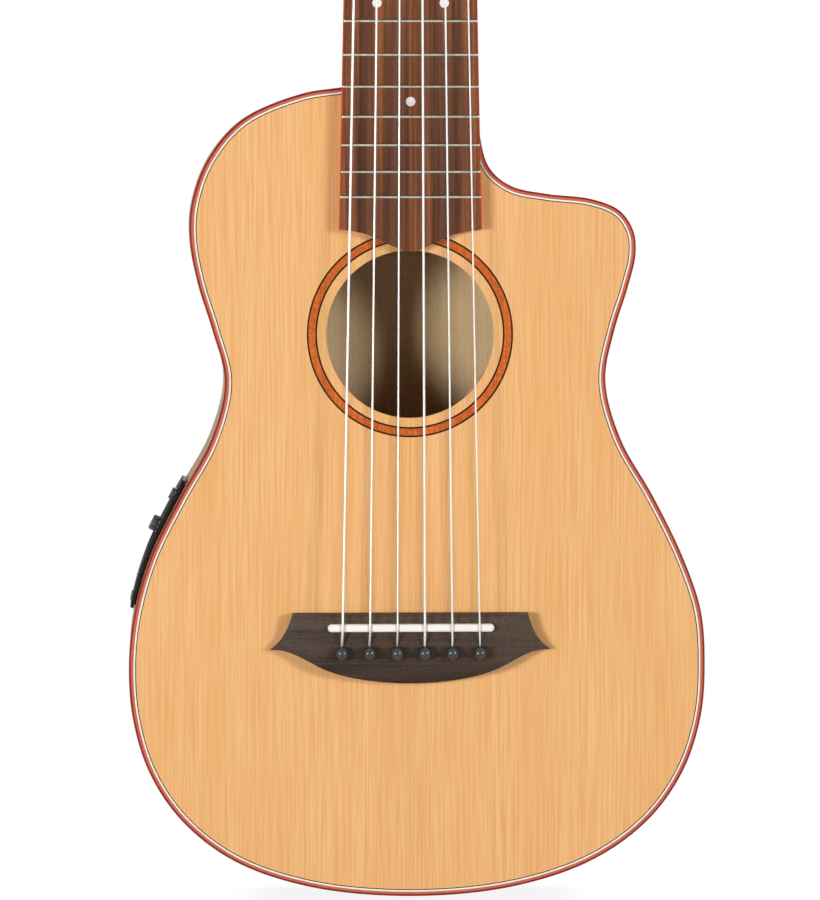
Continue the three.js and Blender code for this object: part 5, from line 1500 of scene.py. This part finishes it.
    def build_worm(self, index: int, side: int, place: Vector) -> None:
        """A worm on its shaft, and the pearl button that turns it."""
        name, body = f"tuner_worm_{index}", f"worm_{index}"
        start = SIZE.tuner_setback + self.button_reach
        to_x = Matrix.Rotation(-math.pi / 2, 4, "Z")
        shaft, core = self.worm_shaft_radius, self.worm_pitch_radius - self.dedendum
        end, foot = (self.worm_length + self.lead) / 2, -self.ear_spread / 2 - self.ear_thickness
        steel = Shape().turned([(0, foot), (shaft - 0.25, foot), (shaft, foot + 0.25), (shaft, -end),
                                (core, -end), (core, end), (shaft, end), (shaft, start - 2),
                                (2.1, start - 1.9), (2.3, start - 1.2), (2.3, start), (0, start)],
                               28).move(to_x)
        self.seat(steel, side, place).publish(
            f"{name}_shaft", CHROME.build(), body, [name], "worm_metal", sharp=40)
        thread = Shape().loft(self.thread_rings())
        self.seat(thread, side, place).publish(
            f"{name}_thread", CHROME.build(), body, [name], "worm_metal", sharp=35)
        rings = []
        for length, size in smooth_curve(self.button_shares, 3):
            turns = [2 * math.pi * step / 32 for step in range(32)]
            rings.append([(start + length * self.button_length,
                           size * self.button_thickness / 2 * math.cos(a),
                           size * self.button_width / 2 * math.sin(a)) for a in turns])
        button = self.seat(Shape().loft(rings), side, place)
        button.publish(f"{name}_button", CREAM_PEARL.build(), body, [name], "worm_metal", sharp=60)

    def thread_rings(self) -> list[list[Vector]]:
        """Sections of the worm's thread along its helix."""
        teeth = self.tooth(0.9 * (self.worm_pitch_radius - self.dedendum),
                           self.worm_pitch_radius + self.addendum)
        count = round(self.worm_length / self.lead * self.thread_steps)
        rings = []
        for step in range(count + 1):
            angle = (step - count / 2) / self.thread_steps * 2 * math.pi
            place = angle * self.lead / (2 * math.pi)
            rings.append([Vector((place + along, -radius * math.sin(angle), -radius * math.cos(angle)))
                          for along, radius in teeth])
        return rings

    def build_collar(self, index: int, place: Vector) -> None:
        """The collar round a post on the headstock's face."""
        face, inner = -SIZE.veneer_thickness, self.post_radius + 0.2
        collar = Shape().turned([
            (inner, face), (self.collar_radius, face), (self.collar_radius, face - 0.5),
            (self.collar_radius * 0.86, face - 0.8 * self.collar_height),
            (self.collar_radius * 0.8, face - self.collar_height), (inner, face - self.collar_height),
            (inner, face),
        ], 36)
        collar.move(SIZE.head_frame @ Matrix.Translation(place))
        collar.publish(f"post_collar_{index}", CHROME.build(), slot="plate_metal", sharp=40)


@dataclass
class Preamp:
    """The preamp in the bass side, with its battery, knobs and button, and the output jack."""

    clearance: float = 0.3
    panel_length: float = 59.6
    panel_width: float = 43
    panel_thickness: float = 1.8
    panel_corner: float = 5
    panel_below_top: float = 195.6
    panel_depth_place: float = 33
    chord_share: float = 0.4
    housing_length: float = 56
    housing_width: float = 37
    housing_depth: float = 22
    battery_size: tuple[float, float] = (48.5, 26.5)
    door_thickness: float = 1.2
    door_margin: float = 1.4
    row_from_edge: float = 6.7
    volume_drop: float = 22.2
    volume_size: tuple[float, float] = (3.5, 3.2)
    tone_drop: float = 7.6
    tone_size: tuple[float, float] = (2.7, 1.6)
    knob_shaft: tuple[float, float] = (1.2, 6)
    push_drop: float = 54
    push_size: float = 4.4
    push_height: float = 0.8
    push_stem: float = 4
    light_drop: float = 45
    bend_step: float = 4
    place: Matrix = field(default_factory=Matrix)
    corners: list[Point2] = field(default_factory=list)

    def __post_init__(self) -> None:
        """Works out where the preamp lies and how the side runs under it."""
        coarse, z = body_outline(2), SIZE.body_top - self.panel_below_top
        reach = self.chord_share * self.panel_length
        up = (self.side_at(coarse, z + reach) - self.side_at(coarse, z - reach)).normalized()
        out = Vector((-up.y, up.x))
        centre = self.side_at(coarse, z)
        seat = centre + out * self.clearance
        turn = Matrix(((up.x, 0, up.y), (0, 1, 0), (out.x, 0, out.y))).transposed().to_4x4()
        self.place = Matrix.Translation((seat.x, self.panel_depth_place, seat.y)) @ turn
        for point in reversed(body_outline(8)):
            reach = Vector(point) - centre
            if abs(reach.dot(up)) < self.panel_length and reach.x < SIZE.body_width / 4:
                self.corners.append((reach.dot(up), reach.dot(out)))

    @staticmethod
    def side_at(outline: Sequence[Point2], z: float) -> Vector:
        """The point where the bass side's outline passes a height."""
        for (x0, z0), (x1, z1) in zip(outline, outline[1:]):
            if x0 < 0 and z0 >= z > z1:
                return Vector((x0, z0)).lerp(Vector((x1, z1)), (z0 - z) / (z0 - z1))
        raise ValueError(f"the bass side doesn't pass {z}")

    @property
    def row(self) -> float:
        """Place of the knobs across the panel."""
        return self.row_from_edge - self.panel_width / 2

    @property
    def door_y(self) -> float:
        """Middle of the battery door across the panel."""
        return (self.housing_width - self.battery_size[1]) / 2 - 2 * self.clearance - 0.1

    def rise(self, x: float) -> float:
        """How far the side rises at a place up the panel."""
        return between(self.corners, x)

    def layer(self, outline: Sequence[Point2], low: float, high: float,
              holes: Sequence[Sequence[Point2]] = (), bent: bool = True) -> Shape:
        """A plate over an outline in the preamp's x and y.

        Args:
            outline: its outline.
            low: its lower height over the side.
            high: its upper height.
            holes: outlines of its holes.
            bent: whether it follows the side's curve.

        Returns:
            The plate, in the preamp's own frame.
        """
        shape = Shape().plate(outline, -high, -low, holes)
        shape.move(Matrix.Rotation(-math.pi / 2, 4, "X"))
        if bent:
            count = int(self.panel_length / 2 / self.bend_step)
            shape.cut_along(0, [step * self.bend_step for step in range(-count, count + 1)])
            for vert in shape.bm.verts:
                vert.co.z += self.rise(vert.co.x)
        return shape

    def oblong(self, length: float, width: float, corner: float, y: float = 0) -> list[Point2]:
        """A rectangle with round corners in the preamp's x and y."""
        return rounded_box((-length / 2, y - width / 2), (length / 2, y + width / 2), corner)

    def control(self, drop: float, reach: float) -> Matrix:
        """The frame of a knob or button, with z square to the side."""
        x = self.panel_length / 2 - drop
        slope = (self.rise(x + reach) - self.rise(x - reach)) / (2 * reach)
        turn = Matrix.Rotation(-math.atan(slope), 4, "Y")
        return self.place @ Matrix.Translation((x, self.row, self.rise(x))) @ turn

    def build(self) -> None:
        """Builds the preamp and the jack."""
        self.build_housing()
        self.build_door()
        for name, drop, (radius, height) in (("volume_knob", self.volume_drop, self.volume_size),
                                             ("tone_knob", self.tone_drop, self.tone_size)):
            self.build_knob(name, self.control(drop, radius), radius, height)
        self.build_marks()
        self.build_push_button()
        dress(["battery"], BATTERY_CASE.build())
        self.build_jack()

    def build_housing(self) -> None:
        """The curved panel and the moulded box behind it, with the battery's bay."""
        bay = self.oblong(self.battery_size[0] + 0.6, self.battery_size[1] + 0.6, 0.5, self.door_y)
        doorway = self.oblong(self.battery_size[0] + 2, self.battery_size[1] + 2, 0.8, self.door_y)
        panel = self.layer(self.oblong(self.panel_length, self.panel_width, self.panel_corner), 0.3,
                           self.panel_thickness, [doorway])
        top = [e for e in panel.sharp_edges(60)
               if min(v.co.z - self.rise(v.co.x) for v in e.verts) > self.panel_thickness - 0.01]
        panel.bevel(top, 0.45, 3)
        panel.move(self.place).publish("preamp_panel", BLACK_PLASTIC.build(), replaces=["preamp_housing"],
                                       slot="panel_plastic", sharp=45)
        box = self.oblong(self.housing_length, self.housing_width, 1.5)
        floor = -self.housing_depth + 3
        for name, low, high, holes, bent in (("rim", -4, 0.35, [bay], True),
                                             ("walls", floor, -3.8, [bay], False),
                                             ("floor", -self.housing_depth, floor, [], False)):
            layer = self.layer(box, low, high, holes, bent)
            layer.move(self.place).publish(
                f"preamp_{name}", BLACK_PLASTIC.build(), replaces=["preamp_housing"], slot="panel_plastic")

    def build_door(self) -> None:
        """The battery door with its grip ribs."""
        length, width = self.battery_size[0] + self.door_margin, self.battery_size[1] + self.door_margin
        low, high = self.panel_thickness - self.door_thickness, self.panel_thickness
        door = self.layer(self.oblong(length, width, 0.6, self.door_y), low, high)
        top = [e for e in door.sharp_edges(60)
               if min(v.co.z - self.rise(v.co.x) for v in e.verts) > self.panel_thickness - 0.01]
        door.bevel(top, 0.3, 2)
        door.move(self.place).publish("battery_door_leaf", BLACK_PLASTIC.build(), "battery_door",
                                      ["battery_door"], "panel_plastic", sharp=45)
        front = self.door_y - width / 2
        ribs = Shape()
        for number in range(5):
            y = front + 1.6 + number * 1.1
            ribs.box((-5, y - 0.25, high - 0.2 + self.rise(0)), (5, y + 0.25, high + 0.3 + self.rise(0)))
        ribs.round_all(0.15, 2).move(self.place)
        ribs.publish(
            "battery_door_ribs", BLACK_PLASTIC.build(), "battery_door", ["battery_door"], "panel_plastic")

    def build_knob(self, name: str, frame_at: Matrix, radius: float, height: float) -> None:
        """A fluted knob with a white pointer, on its shaft."""
        rings = []
        for share, size in ((0, 0.96), (0.06, 1), (0.72, 1), (0.9, 0.95), (1, 0.84)):
            ring = []
            for step in range(96):
                angle = 2 * math.pi * step / 96
                flute = 1 - 0.06 * (0.5 - 0.5 * math.cos(16 * angle)) * (share < 0.95)
                ring.append((radius * size * flute * math.cos(angle), radius * size * flute * math.sin(angle),
                             share * height))
            rings.append(ring)
        seat = frame_at @ Matrix.Translation((0, 0, self.panel_thickness + self.clearance))
        grip = Shape().loft(rings).move(seat)
        grip.publish(f"{name}_grip", KNOB_PLASTIC.build(), name, [name], "knob_plastic", sharp=35)
        shaft_radius, shaft_length = self.knob_shaft
        shaft = Shape().turned([(0, 0.05), (shaft_radius, 0.05), (shaft_radius, shaft_length),
                                (0, shaft_length)], 20)
        shaft.move(seat @ Matrix.Rotation(-math.pi / 2, 4, "X"))
        shaft.publish(f"{name}_shaft", STEEL.build(), name, [name], "knob_plastic", sharp=40)
        pointer = Shape().box((0.2 * radius, -0.22, height - 0.1), (0.8 * radius, 0.22, height + 0.06))
        pointer.move(seat).publish(f"{name}_pointer", WHITE_INK.build(), name, [name], "knob_plastic")

    def build_marks(self) -> None:
        """A ring of printed dots round the volume knob, and the indicator light."""
        radius = self.volume_size[0]
        marks = Shape()
        for step in range(10):
            angle = math.radians(-135 + 30 * step)
            at = (radius * 1.34 * math.cos(angle), radius * 1.34 * math.sin(angle))
            marks.plate(circle(0.28, *at, 12), -self.panel_thickness - 0.1, -self.panel_thickness + 0.3)
        marks.move(self.control(self.volume_drop, radius) @ Matrix.Rotation(-math.pi / 2, 4, "X"))
        marks.publish("volume_marks", WHITE_INK.build(), slot="panel_plastic")
        lens = Shape().turned([(0, -0.75), (0.5, -0.68), (0.9, -0.42), (1.1, 0), (1.1, 1), (0, 1)], 24)
        seat = self.control(self.light_drop, 1) @ Matrix.Translation((0, 0, self.panel_thickness))
        lens.move(seat @ Matrix.Rotation(-math.pi / 2, 4, "X"))
        lens.publish("indicator_light", LENS.build(), slot="panel_plastic", sharp=60)

    def build_push_button(self) -> None:
        """The push button, with a rounded cap on its stem."""
        half = self.push_size / 2
        cap = Shape().box((-half, -half, -self.push_stem),
                          (half, half, self.panel_thickness + self.push_height))
        cap.round_all(0.5, 3).move(self.control(self.push_drop, self.push_size))
        cap.publish(
            "preamp_button_cap", KNOB_PLASTIC.build(), "preamp_button", ["preamp_button"], "knob_plastic")

    def build_jack(self) -> None:
        """The output jack: a turned flange with a nut round its socket, and the barrel inside."""
        flange, thick, barrel, length, bore, depth = 9, 2.6, 6, 34, 3.2, 30
        profile = [(0, length), (barrel, length), (barrel, 0), (flange, 0), (flange, -0.5 * thick),
                   (0.97 * flange, -0.58 * thick), (0.78 * flange, -0.62 * thick),
                   (0.74 * flange, -thick + 0.25), (0.7 * flange, -thick), (bore + 0.4, -thick),
                   (bore, -thick + 0.4), (bore, depth - thick), (0, depth - thick)]
        place = Matrix.Translation((0, SIZE.depth_at_tail / 2, SIZE.body_bottom - self.clearance))
        jack = Shape().turned(profile, 48).move(place @ Matrix.Rotation(math.pi / 2, 4, "X"))
        jack.publish(
            "output_jack_turned", CHROME.build(), replaces=["output_jack"], slot="jack_metal", sharp=40)


# Studio.

@dataclass
class Studio:
    """Floor, soft lamps, white surroundings and the camera of the photograph."""

    pixel: float = 0.4274
    frame_height: int = 900
    foot_x: float = -105
    foot_z: float = -310
    distance: float = 2450
    aim: tuple[float, float, float] = (0.0, 0.0, -437.8)
    floor_drop: float = 634.5
    contact_reach: float = 0.02
    ambient: float = 0.05

    def build(self) -> None:
        """Builds the studio."""
        self.build_camera()
        self.build_floor()
        self.build_world()
        self.build_lamp("lamp_left", (-1.36, -1.7, -0.42), 0.5, 32)
        self.build_lamp("lamp_right", (1.78, -2.05, -0.02), 0.62, 36)
        self.build_lamp("lamp_back", (0.5, 2.3, 0.7), 0.9, 55)
        bpy.context.scene.view_settings.view_transform = "Standard"

    def build_camera(self) -> None:
        """A long lens, a little above the middle of the body and to its bass side."""
        data = bpy.data.cameras.new("photo_camera")
        camera = bpy.data.objects.new("photo_camera", data)
        bpy.context.scene.collection.objects.link(camera)
        stand = Vector((self.foot_x, -self.distance, self.foot_z)) * MM
        aim = Vector(self.aim) * MM
        camera.location = stand
        camera.rotation_euler = (aim - stand).to_track_quat("-Z", "Y").to_euler()
        data.sensor_fit = "VERTICAL"
        data.sensor_height = 24
        data.lens = data.sensor_height * (aim - stand).length / (self.frame_height * self.pixel * MM)
        data.clip_end = 50
        bpy.context.scene.camera = camera

    def build_floor(self) -> None:
        """A pale floor that shows white to the camera, with a soft contact shadow."""
        material = bpy.data.materials.new("pale_floor")
        material.use_nodes = True
        tree = material.node_tree
        nodes = Nodes(tree)
        shader = tree.nodes["Principled BSDF"]
        shader.inputs["Base Color"].default_value = (0.4, 0.4, 0.4, 1)
        shader.inputs["Roughness"].default_value = 0.9
        seen = self.seen_ray(nodes)
        hollow = nodes.add("ShaderNodeAmbientOcclusion")
        hollow.inputs["Distance"].default_value = self.contact_reach
        light = nodes.add("ShaderNodeEmission")
        nodes.feed(light.inputs["Color"], nodes.mix(nodes.spread(hollow.outputs["AO"], 0.35, 0.95),
                                                    (0.9, 0.9, 0.9), (1.0, 1.0, 1.0)))
        both = nodes.add("ShaderNodeMixShader")
        nodes.feed(both.inputs[0], seen)
        nodes.feed(both.inputs[1], shader.outputs[0])
        nodes.feed(both.inputs[2], light.outputs[0])
        nodes.feed(tree.nodes["Material Output"].inputs["Surface"], both.outputs[0])
        floor = bmesh.new()
        bmesh.ops.create_grid(floor, x_segments=1, y_segments=1, size=12,
                              matrix=Matrix.Translation((0, 0, -self.floor_drop * MM)))
        mesh = bpy.data.meshes.new("floor")
        floor.to_mesh(mesh)
        floor.free()
        mesh.materials.append(material)
        piece = bpy.data.objects.new("floor", mesh)
        bpy.context.scene.collection.objects.link(piece)

    def seen_ray(self, nodes: Nodes) -> bpy.types.NodeSocket:
        """Whether a ray comes from the camera, or by way of a gloss or glass."""
        path = nodes.add("ShaderNodeLightPath")
        seen = nodes.math("ADD", path.outputs["Is Camera Ray"], path.outputs["Is Glossy Ray"], clamp=True)
        return nodes.math("ADD", seen, path.outputs["Is Transmission Ray"], clamp=True)

    def build_world(self) -> None:
        """White where it is seen, a low even light elsewhere."""
        world = bpy.data.worlds.new("studio")
        world.use_nodes = True
        tree = world.node_tree
        nodes = Nodes(tree)
        back = tree.nodes["Background"]
        back.inputs["Color"].default_value = (1, 1, 1, 1)
        back.inputs["Strength"].default_value = self.ambient
        white = nodes.add("ShaderNodeBackground")
        white.inputs["Color"].default_value = (1, 1, 1, 1)
        white.inputs["Strength"].default_value = 1
        both = nodes.add("ShaderNodeMixShader")
        nodes.feed(both.inputs[0], self.seen_ray(nodes))
        nodes.feed(both.inputs[1], back.outputs[0])
        nodes.feed(both.inputs[2], white.outputs[0])
        nodes.feed(tree.nodes["World Output"].inputs["Surface"], both.outputs[0])
        bpy.context.scene.world = world

    def build_lamp(self, name: str, place: tuple[float, float, float], size: float, power: float) -> None:
        """A square soft lamp, in metres and watts, aimed at the body."""
        data = bpy.data.lights.new(name, "AREA")
        data.size = size
        data.energy = power
        lamp = bpy.data.objects.new(name, data)
        bpy.context.scene.collection.objects.link(lamp)
        lamp.location = place
        aim = Vector((0, 0, -0.42)) - Vector(place)
        lamp.rotation_euler = aim.to_track_quat("-Z", "Y").to_euler()


def main() -> None:
    """Builds the studio and each sub-assembly in turn."""
    logging.basicConfig(level=logging.INFO, format="%(message)s")
    for part in (Studio(), SoundBox(), Neck(), Fretboard(), Bridge(), Strings(), TuningMachines(), Preamp()):
        LOG.info("building %s", type(part).__name__)
        part.build()


if __name__ == "__main__":
    main()
